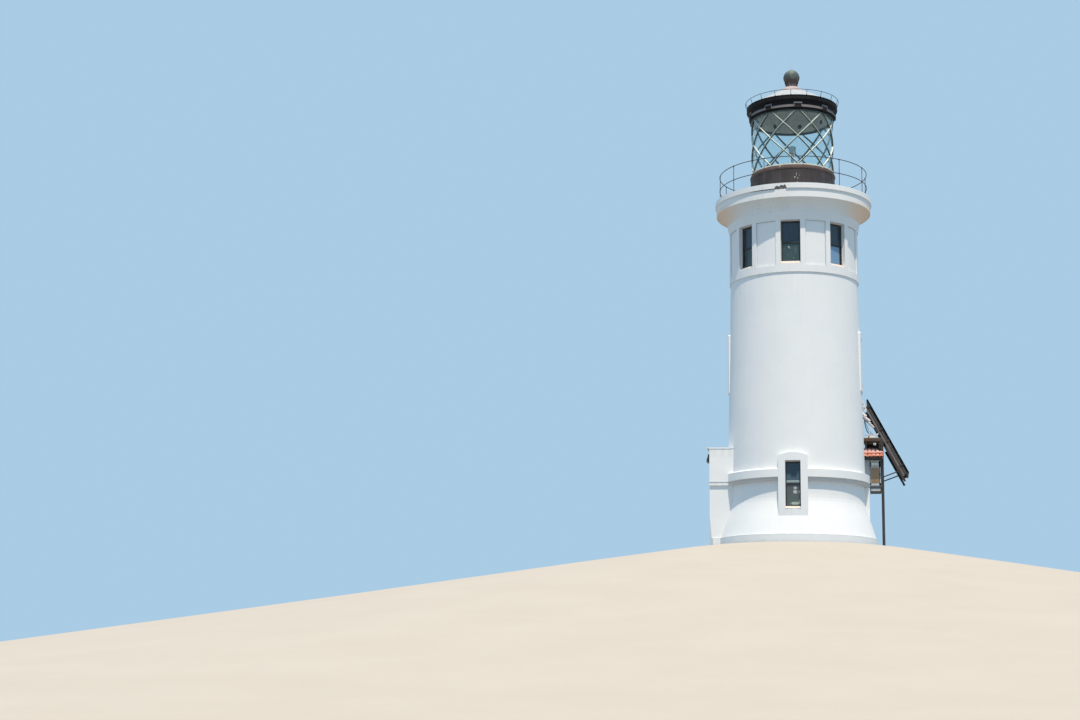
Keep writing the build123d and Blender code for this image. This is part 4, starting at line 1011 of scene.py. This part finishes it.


# Ventilators: a hood of sheet iron outside and a round register inside each bay, the mouths and registers painted
# near-black as shade

vents = bmesh.new()
# the first block fills the mouth: painted shade of the opening
mouth = [(-0.122, 0.122, 1.4645, 1.508, 15.07, 15.216, 2)]
mouth += [(-0.122, 0.122, 1.508, 1.5095, z, z + 0.004, 1) for z in (15.105, 15.143, 15.181)]
mouth += [(x, x + 0.027, 1.47, 1.5285, 15.064, 15.216, 1) for x in (-0.149, 0.122)]
mouth += [(-0.149, 0.149, 1.466, 1.5285, 15.063, 15.07, 1)]
hood = ((-0.125, 1.497, 15.29), (0.125, 1.497, 15.29), (0.15, 1.528, 15.238), (-0.15, 1.528, 15.238))
lip = ((-0.149, 1.528, 15.24), (0.149, 1.528, 15.24), (0.149, 1.53, 15.214), (-0.149, 1.53, 15.214))
cheek = ((0.125, 1.462, 15.288), (0.149, 1.528, 15.238), (0.149, 1.528, 15.066), (0.128, 1.462, 15.066))
disc = [(0.001, 1.296), (0.07, 1.296), (0.078, 1.3), (0.085, 1.3), (0.085, 1.3085), (0.001, 1.3085)]
for phi in bays:
    axes = wall_axes(phi)
    _, right, outward, up = axes
    sheet(vents, axes, hood, up * -0.008)
    sheet(vents, axes, lip, outward * -0.006)
    for side in (-1, 1):
        sheet(vents, axes, [(side * a, r, z) for a, r, z in cheek], right * (-0.006 * side), 1)
        for z in (15.085, 15.2):
            bolt(vents, at(axes, side * 0.137, 1.529, z), outward, 0.007, 0.0015, 1)
    boxes(vents, axes, mouth)
    spun(vents, disc, (up * 15.26, right, up, outward), 2, 24)
    for a in turns(6):
        spot = at(axes, 0.045 * math.cos(a), 1.296, 15.26 + 0.045 * math.sin(a))
        lens(vents, spot, -outward, 0.013, 0.006, 1, 8, 2)
hood_paints = [hood_iron, cornice_iron, vent_opening_shade]
piece("ventilators", vents, hood_paints, replaces=("cornice_ventilators",))


# Cornice: a ring under the band, rivets, a gutter edge and hand holds

trim = bmesh.new()
for rim in (
    [(1.455, 15.0245), (1.4685, 15.0245), (1.4685, 15.088), (1.462, 15.0945), (1.455, 15.0945)],
    [(1.57, 15.486), (1.583, 15.488), (1.586, 15.498), (1.583, 15.509), (1.57, 15.511)],
    [(1.566, 15.366), (1.581, 15.366), (1.583, 15.374), (1.581, 15.384), (1.566, 15.384)],
    [(1.488, 15.19), (1.506, 15.19), (1.51, 15.198), (1.506, 15.206), (1.488, 15.206)],
):
    turned(trim, rim, 1, 144)
bolt_ring(trim, 72, 2.5, 1.5015, 15.142, 1, (0.0065, 0.005), 1)
bolt_ring(trim, 72, 2.5, 1.468, 15.056, 1, (0.006, 0.005), 1)
piece("cornice_trim", trim, [ring_iron, cornice_iron])


# Roof: cover strips over the plate joints, rivets and the seat's bolts

strips = bmesh.new()
eave_r, eave_z = 1.575, 15.508
rise = (16.18 - eave_z) / (eave_r - 0.33)
cover_lift = 0.007
cover = ((-0.03, -0.004), (0.03, -0.004), (0.026, cover_lift), (-0.026, cover_lift))


def roof_z(r):
    """Level of the roof's outside at a radius."""
    return eave_z + (eave_r - r) * rise


for phi in plate_joints:
    axes = wall_axes(phi)
    strip(strips, axes, cover, [(r, roof_z(r)) for r in (1.572, 1.2, 0.8, 0.345)])
    for n in range(11):
        r = 1.52 - n * 0.112
        for side in (-1, 1):
            spot = at(axes, side * 0.018, r, roof_z(r) + cover_lift - 0.001)
            lens(strips, spot, axes[2] * rise + axes[3], 0.006, 0.004, 0, 8, 2)
bolt_ring(strips, 12, 15.0, 0.312, 16.248, 0, (0.013, 0.014), 1)
cap = [(0.2, 16.25), (0.262, 16.25), (0.268, 16.262), (0.262, 16.282), (0.215, 16.3), (0.2, 16.3)]
turned(strips, cap, 1, 72)
for k in range(18):
    phi = 1.5 + 20.0 * k
    foot = wall_axes(phi, polar(1.562, phi, 15.516))
    box(strips, foot, (-0.02, 0.02), (-0.03, 0.016), (-0.002, 0.008), 2)
piece("roof_strips", strips, [roof_paint, seat_iron, rail_iron], bevel=0.001)

# Ball: seams of its gores and girdle, a cap, and the neck with its ports

ball_seams = bmesh.new()
centre = 16.655
seam_r = 0.2835
tilts = [math.radians(145 * s / 24 - 62) for s in range(25)]
for k in range(8):
    points = [polar(seam_r * math.cos(t), 22.5 + 45 * k, centre + seam_r * math.sin(t)) for t in tilts]
    tube(ball_seams, points, 0.0035, 6)
girdle = [(0.281, -0.016), (0.2875, -0.014), (0.2875, 0.014), (0.281, 0.016)]
top_cap = [(0.022, 16.93), (0.052, 16.928), (0.046, 16.944), (0.03, 16.962), (0.022, 16.962)]
neck = [(0.212, 16.44), (0.236, 16.445), (0.24, 16.462), (0.234, 16.478), (0.212, 16.48)]
turned(ball_seams, [(r, centre + up) for r, up in girdle], 0, 96)
turned(ball_seams, top_cap, 0, 36)
turned(ball_seams, neck, 2, 72)
# the neck's ports are dark plates: painted shade of the openings
for k in range(12):
    axes = wall_axes(30.0 * k, polar(0.203, 30.0 * k, 16.36))
    box(ball_seams, axes, (-0.018, 0.018), (0.0, 0.006), (-0.045, 0.045), 2)
piece("ball_seams", ball_seams, [patina_and_highlight, seat_iron, dark_gap_and_shade])


# Beacon: ribbed lens between two collars, on its post with a bolted foot

beacon = bmesh.new()
ribs = [(0.02, 13.872)]
for k in range(15):
    ribs.append((0.12 - 0.02 * abs(k - 7) / 7 + (0.01 if k % 2 else 0.0), 13.872 + 0.234 * k / 14))
ribs.append((0.02, 14.106))
low_collar = [(0.02, 13.861), (0.125, 13.861), (0.128, 13.868), (0.118, 13.88), (0.02, 13.88)]
high_collar = [(0.02, 14.098), (0.112, 14.098), (0.118, 14.106), (0.085, 14.117), (0.02, 14.117)]
turned(beacon, ribs, 0, 48)
turned(beacon, low_collar, 1, 48)
turned(beacon, high_collar, 1, 48)
for k in range(8):
    tube(beacon, [polar(0.126, 45.0 * k + 22.5, z) for z in (13.866, 14.11)], 0.004, 6, 1)
bolt_ring(beacon, 8, 0.0, 0.13, 12.0695, 0, (0.012, 0.012), 1)
for z in (12.3, 13.05, 13.7):
    turned(beacon, [(0.042, z), (0.062, z + 0.004), (0.062, z + 0.036), (0.042, z + 0.04)], 1, 40)
piece("beacon_lamp", beacon, [lens_glass, beacon_paint], replaces=("beacon_lens",))


# Entrance: plank door with ledges, strap hinges and a knob, its lamp, and the portal's drip edges

door = bmesh.new()
axes = wall_axes(270.0)
plank = 0.954 / 7
for k in range(7):
    low = plank * k - 0.477
    box(door, axes, (low + 0.002, low + plank - 0.002), (2.521, 2.552), (0.102, 2.227))
for z in (0.22, 1.05, 1.95):
    box(door, axes, (-0.47, 0.47), (2.512, 2.522), (z, z + 0.15))
for z in (0.4, 1.98):
    box(door, axes, (-0.465, 0.21), (2.552, 2.5555), (z, z + 0.045), 1)
    for k in range(6):
        bolt(door, at(axes, 0.12 * k - 0.42, 2.555, z + 0.0225), axes[2], 0.01, 0.006, 1)
    tube(door, [at(axes, -0.474, 2.556, z + d) for d in (-0.03, 0.075)], 0.01, 10, 1)
box(door, axes, (0.38, 0.43), (2.552, 2.556), (1.02, 1.2), 1)
tube(door, [at(axes, 0.405, out, 1.13) for out in (2.556, 2.586)], 0.009, 10, 1)
lens(door, at(axes, 0.405, 2.584, 1.13), axes[2], 0.026, 0.022, 1)
piece("door_leaf", door, [door_paint, lamp_paint], bevel=0.003, replaces=("entrance_door",))

lamp = bmesh.new()
lamp_axes = (Vector((-2.97, 0, 0)), *world_axes[1:])
shade = [(0.07, 3.0), (0.074, 2.996), (0.075, 3.04), (0.06, 3.12), (0.034, 3.18), (0.03, 3.235)]
shade += [(0.012, 3.246), (0.01, 3.25), (0.008, 3.236), (0.026, 3.228), (0.03, 3.176), (0.056, 3.116)]
shade += [(0.069, 3.04)]
bulb = [(0.001, 2.946), (0.03, 2.95), (0.05, 2.975), (0.058, 3.01), (0.058, 3.06), (0.03, 3.12), (0.001, 3.122)]
wire = ((0.067, 3.01), (0.066, 2.975), (0.052, 2.95), (0.022, 2.9405))
spun(lamp, shade, lamp_axes, 0, 36)
spun(lamp, bulb, lamp_axes, 1, 24)
for a in turns(8):
    way = Vector((math.cos(a), math.sin(a), 0))
    tube(lamp, [lamp_axes[0] + way * r + up_way * z for r, z in wire], 0.0025, 6)
arm = ((-2.866, 3.205), (-2.905, 3.226), (-2.94, 3.262), (-2.962, 3.272), (-2.97, 3.245))
tube(lamp, [(x, 0, z) for x, z in arm], 0.011, 12)
box(lamp, axes, (-0.072, 0.072), (2.85, 2.862), (3.095, 3.298))
box(lamp, axes, (-0.05, 0.05), (2.862, 2.868), (3.13, 3.262))
for side in (-1, 1):
    for z in (3.112, 3.28):
        bolt(lamp, (-2.862, side * 0.055, z), axes[2], 0.008, 0.006)
piece("lamp_over_door", lamp, [lamp_paint, lens_glass], bevel=0.001, replaces=("entrance_lamp",))

portal_trim = bmesh.new()
edges = [(-2.935, -2.1, y, y + 0.013, 3.296, 3.318, 0) for y in (-1.0555, 1.0425)]
boxes(portal_trim, world_axes, edges + [(-2.938, -2.852, -1.0555, 1.0555, 3.3, 3.318, 0)])
piece("portal_drips", portal_trim, [portal_paint], bevel=0.004)


# Rack: boards of the deck, plates and bolts at the joints, and the boxes, pipes and wires on it

boards = bmesh.new()
board_width = 0.2385
for k in range(6):
    low = 0.836 + k * (board_width + 0.004)
    ends = (2.246 + dice.uniform(0, 0.012), 2.842 - dice.uniform(0, 0.01))
    box(boards, world_axes, ends, (low, low + board_width), (3.851, 3.887 + dice.uniform(-0.002, 0.002)))
box(boards, world_axes, (2.252, 2.842), (0.8355, 0.858), (3.768, 3.852))
piece("deck_boards", boards, [timber], bevel=0.004, replaces=("rack_deck",))

rack_parts = bmesh.new()
for y, out, post_row in ((0.9, -1, (2.887,)), (2.2, 1, (2.35, 2.887))):
    plate_y = sorted((y + out * 0.0455, y + out * 0.0495))
    for x in post_row:
        for z in (2.1, 3.6):
            box(rack_parts, world_axes, (x - 0.04, x + 0.04), plate_y, (z, z + 0.14))
            for dx in (-0.024, 0.024):
                for dz in (0.03, 0.11):
                    bolt(rack_parts, (x + dx, y + out * 0.0495, z + dz), (0, out, 0), 0.009, 0.01)
        box(rack_parts, world_axes, (x - 0.08, x + 0.08), (y - 0.08, y + 0.08), (0.0, 0.016))
        for dx in (-0.06, 0.06):
            for dy in (-0.06, 0.06):
                bolt(rack_parts, (x + dx, y + dy, 0.0155), up_way, 0.012, 0.014)
slant = Vector((0.925, -0.38, 0)).normalized()
wall_plate = (Vector((2.04, 0.9, 4.835)), slant, up_way.cross(slant), up_way)
box(rack_parts, wall_plate, (-0.045, 0.012), (-0.075, 0.075), (-0.09, 0.09))
tube(rack_parts, [(2.887, 0.852, 2.52), (2.887, 0.948, 2.52)], 0.02, 12)
piece("rack_fittings", rack_parts, [rack_iron], bevel=0.002)

gear = bmesh.new()
gear_boxes = [(2.33, 2.69, 0.86, 1.1, 3.889, 3.985, 0), (2.32, 2.7, 0.85, 1.11, 3.985, 3.998, 0)]
gear_boxes += [(2.42, 2.47, 0.852, 0.862, 3.905, 3.945, 1), (2.6, 2.684, 0.838, 0.856, 3.63, 3.702, 0)]
gear_boxes += [(2.31, 2.6, 0.846, 0.856, 3.668, 3.68, 1)]
boxes(gear, world_axes, gear_boxes)
tube(gear, [(2.688, 0.9, 3.955), (2.735, 0.9, 3.985), (2.772, 0.9, 4.05), (2.8, 0.9, 4.108)], 0.024, 12)
lens(gear, (2.642, 0.838, 3.666), (0, -1, 0), 0.02, 0.01, 1)
piece("rack_boxes", gear, [white_paint, rack_iron], bevel=0.004)

pipes = bmesh.new()
for points, radius, slot in (
    ([(2.2, 0.852, 4.76), (2.27, 0.85, 4.71), (2.37, 0.85, 4.63)], 0.05, 0),
    ([(2.3, 0.852, 4.6), (2.4, 0.85, 4.52), (2.49, 0.85, 4.45)], 0.056, 1),
    ([(2.28, 0.85, 4.625), (2.305, 0.85, 4.6)], 0.07, 1),
    ([(2.47, 0.85, 4.395), (2.55, 0.85, 4.32), (2.63, 0.852, 4.235)], 0.034, 1),
    ([(2.455, 0.85, 4.42), (2.49, 0.85, 4.38)], 0.05, 0),
):
    tube(pipes, points, radius, 14, slot)
plate_down, plate_out = Vector((0.32, 0, -0.947)), Vector((0.947, 0, 0.32))
plate_axes = (Vector((2.245, 0.85, 5.185)), plate_down, world_axes[2], plate_out)
box(pipes, plate_axes, (0.0, 0.385), (0.0, 0.014), (-0.05, 0.04), 0)
for d in (0.1, 0.25):
    box(pipes, plate_axes, (d, d + 0.07), (-0.002, 0.004), (-0.03, -0.006), 2)
tube(pipes, [(2.46, 0.85, 4.56), (2.45, 0.85, 4.42), (2.47, 0.852, 4.2), (2.46, 0.856, 3.985)], 0.012, 10)
piece("brace_pipes", pipes, [white_paint, pink_paint, rack_iron], bevel=0.002)

wires = bmesh.new()
for k, (y, sag) in enumerate(((0.965, 0.1), (1.05, 0.16), (1.18, 0.12))):
    start, end = Vector((2.3, y, 4.78 - 0.12 * k)), Vector((2.62, y + 0.03, 3.985))
    points = []
    for s in range(14):
        swell = math.sin(math.pi * s / 13)
        points.append(start.lerp(end, s / 13) + Vector((-0.06 * swell, 0, -sag * swell)))
    tube(wires, points, 0.008, 8)
piece("array_wires", wires, [rack_iron])


# Cabinet, measured from its front: door frame, glazed door, hinges, latch, vents, rain strip and tray

cab = bmesh.new()
cab_axes = (Vector((0, 0.905, 0)), *world_axes[1:])
frame_y, trim_y, tray_y = (-0.034, -0.01), (-0.038, -0.018), (-0.009, 0.001)
cab_boxes = [
    (2.456, 2.836, -0.012, 0, 2.215, 3.12, 0),
    (2.462, 2.496, *frame_y, 2.245, 3.085, 0),
    (2.764, 2.826, *frame_y, 2.245, 3.085, 0),
    (2.462, 2.826, *frame_y, 2.245, 2.33, 0),
    (2.462, 2.826, *frame_y, 2.86, 3.085, 0),
    (2.48, 2.79, -0.033, -0.012, 2.325, 2.905, 1),
    (2.476, 2.484, *trim_y, 2.322, 2.908, 2),
    (2.77, 2.794, *trim_y, 2.322, 2.908, 2),
    (2.476, 2.794, *trim_y, 2.322, 2.33, 2),
    (2.476, 2.794, *trim_y, 2.9, 2.908, 2),
    (2.456, 2.842, -0.045, 0, 3.1, 3.114, 0),
    (2.54, 2.73, -0.046, -0.03, 2.955, 3.02, 3),
    (2.79, 2.806, -0.052, -0.03, 2.56, 2.66, 2),
    (2.456, 2.84, -0.014, 0.002, 2.15, 2.214, 4),
    (2.3, 2.84, 0.555, 0.563, 2.235, 3.1, 0),
    (2.47, 2.826, 0.02, 0.535, 2.016, 2.026, 2),
    (2.461, 2.491, *tray_y, 2.03, 2.2, 2),
    (2.805, 2.835, *tray_y, 2.03, 2.2, 2),
    (2.47, 2.826, *tray_y, 2.03, 2.056, 2),
]
cab_boxes += [(2.8405, 2.8525, 0.145, 0.415, 2.5 + 0.03 * k, 2.508 + 0.03 * k, 0) for k in range(9)]
cab_boxes += [(2.4 + 0.05 * k, 2.412 + 0.05 * k, 0.561, 0.567, 2.6, 2.86, 2) for k in range(7)]
boxes(cab, cab_axes, cab_boxes)
for z in (2.4, 2.78):
    tube(cab, [(2.46, 0.879, z), (2.46, 0.879, z + 0.07)], 0.009, 10, 2)
cab_paints = [grey_paint, amber_glass, rack_iron, white_paint, slate_paint]
piece("cabinet_door", cab, cab_paints, bevel=0.003)


# Barrel tiles in three lapped courses, the top one short, with their battens and an end tile

tiles = bmesh.new()
low_end, high_end = Vector((0, 0.6, 3.195)), Vector((0, 1.15, 3.545))
length = (high_end - low_end).length
run = (high_end - low_end).normalized()
tile_up = world_axes[1].cross(run).normalized()
lobes = 5
pitch = 0.672 / lobes
wide = pitch * 0.47
tile_wall = 0.011
for course in range(3):
    start = length * course / 3 - 0.03
    end = min(length, length * (course + 1) / 3 + 0.045)
    lap = ((start, 1.0, 0.016), (start + 0.004, 1.0, 0.018), (end - 0.01, 0.86, 0.004), (end, 0.86, 0.002))
    base = 0.002 + 0.006 * (course % 2)
    for k in range((lobes, lobes, 3)[course]):
        x = 2.26 + pitch * (k + 0.5) + dice.uniform(-0.004, 0.004)
        swing = dice.uniform(-0.01, 0.01)
        for trough in (0, 1):
            if trough and k == lobes - 1:
                continue
            rings = []
            for t, size, lift in lap:
                ring = []
                for inset, level, order in ((0, 0.02, range(11)), (tile_wall, 0.008, range(10, -1, -1))):
                    for s in order:
                        a = math.pi * s / 10
                        sx = math.cos(a) * (wide - inset) * size + x + trough * pitch / 2 + swing * t
                        sz = math.sin(a) * (wide * 0.62 - inset) * size
                        if trough:
                            sz = level - sz * 0.55
                        jitter = 0 if inset else dice.uniform(-0.001, 0.001)
                        spot = low_end + run * (t + jitter) + tile_up * (sz + lift + base)
                        ring.append(spot + world_axes[1] * sx)
                rings.append(ring)
            loft(tiles, rings)
box(tiles, world_axes, (2.262, 2.93), (0.606, 0.628), (3.132, 3.196), 1)
box(tiles, world_axes, (2.262, 2.93), (1.125, 1.15), (3.47, 3.548), 1)
tube(tiles, [(2.905, 0.598, 3.15), (2.905, 0.7, 3.215), (2.905, 0.82, 3.292)], 0.034, 14)
piece("barrel_tiles", tiles, [clay, timber], sharp=50.0)


# Solar array: frames round the modules, clamps, backs, boxes, and end caps and webs of the rails, the webs painted
# dark as shade

depth_way = Vector((-math.sin(slope), 0, -math.cos(slope)))
array_axes = (array_top, down_way, depth_way, world_axes[2])
across_way = array_axes[3]
module = bmesh.new()
for k in range(4):
    start = module_pitch * k
    end = start + 0.705
    module_boxes = [(start + 0.006, end - 0.006, 0.038, 0.0455, 0.006, 1.594, 1)]
    module_boxes += [(start, end, -0.002, 0.047, y, y + 0.022, 0) for y in (0.0, 1.578)]
    module_boxes += [(d, d + 0.022, -0.002, 0.047, 0.022, 1.578, 0) for d in (start, end - 0.022)]
    module_boxes += [(start + 0.3, start + 0.42, 0.045, 0.068, y, y + 0.09, 2) for y in (0.36, 1.16)]
    boxes(module, array_axes, module_boxes)
    for y in (0.405, 1.205):
        for n in (-1, 1):
            cable = ((0.058, 0.045), (0.07, 0.2), (0.058, 0.36))
            tube(module, [at(array_axes, start + 0.36, deep, y + n * out) for deep, out in cable], 0.005, 6, 2)
for d in (0.245, 1.13, 1.59, 2.53):
    for y in (0.06, 1.5):
        box(module, array_axes, (d - 0.03, d + 0.03), (0.045, 0.075), (y, y + 0.04), 3)
        bolt(module, at(array_axes, d, 0.074, y + 0.02), depth_way, 0.01, 0.01, 3)
    for y in (0.05, 1.35):
        for side in (-1, 1):
            bolt(module, at(array_axes, d, 0.196, y + side * 0.03), across_way * side, 0.011, 0.01, 3)
for d in (0.715, 1.44, 2.165):
    for y in (0.3, 0.8, 1.3):
        box(module, array_axes, (d - 0.012, d + 0.012), (-0.006, 0.03), (y - 0.025, y + 0.025), 3)
for y in (0.05, 1.35):
    for d in (0.2, 2.88):
        box(module, array_axes, (d - 0.004, d + 0.004), (0.168, 0.229), (y - 0.032, y + 0.032), 3)
    # painted shade: the rails' webs in the dark rack paint, with a thin pale flange line below
    box(module, array_axes, (0.206, 2.872), (0.047, 0.169), (y - 0.02, y - 0.015), 2)
    box(module, array_axes, (0.206, 2.872), (0.1, 0.112), (y - 0.023, y - 0.019), 3)
module_paints = [module_back, module_back, rack_iron, aluminium]
piece("module_frames", module, module_paints, bevel=0.0015)


# Droppings: small splats where birds sit

splats = bmesh.new()


def splat(place, way, size, drip=0.0):
    """Ragged round patch that faces a way, drawn out downward by the drip."""
    way = Vector(way).normalized()
    side = way.cross(up_way)
    side = side.normalized() if side.length > 0.1 else world_axes[1]
    top = side.cross(way).normalized()
    ring, inner_ring = [], []
    for a in turns(14):
        r = size * dice.uniform(0.65, 1.2)
        fall = drip * max(0.0, -math.sin(a)) ** 3 * dice.uniform(0.6, 1.2)
        spoke = (side * math.cos(a) + top * math.sin(a)) * r
        ring.append(place + spoke - top * fall)
        inner_ring.append(place + way * 0.004 + spoke * 0.6 - top * (fall * 0.6))
    loft(splats, [ring, inner_ring])


for phi, z, size, drip in (
    (5.5, 12.6, 0.016, 0.03),
    (9.5, 12.56, 0.014, 0.02),
    (7.6, 12.74, 0.008, 0.14),
    (8.6, 12.42, 0.014, 0.03),
    (11.5, 12.66, 0.008, 0.02),
):
    splat(polar(1.4545, phi, z), polar(1, phi, 0), size, drip)
for across, z, size, drip in ((-0.075, 10.0, 0.02, 0.01), (-0.038, 9.965, 0.014, 0.02), (0.09, 9.62, 0.008, 0.03)):
    splat(Vector((across, -1.9945, z)), (0, -1, 0), size, drip)
for phi in range(0, 360, 9):
    if dice.random() < 0.6:
        spot = polar(dice.uniform(2.56, 2.67), phi + dice.uniform(-3, 3), 12.0402)
        splat(spot, up_way, dice.uniform(0.01, 0.028))
for k in range(46):
    r = dice.uniform(0.45, 1.52)
    phi = dice.uniform(0, 360)
    splat(polar(r, phi, roof_z(r) + 0.001), polar(rise, phi, 1.0), dice.uniform(0.008, 0.022), 0.01)
piece("droppings", splats, [dropping])
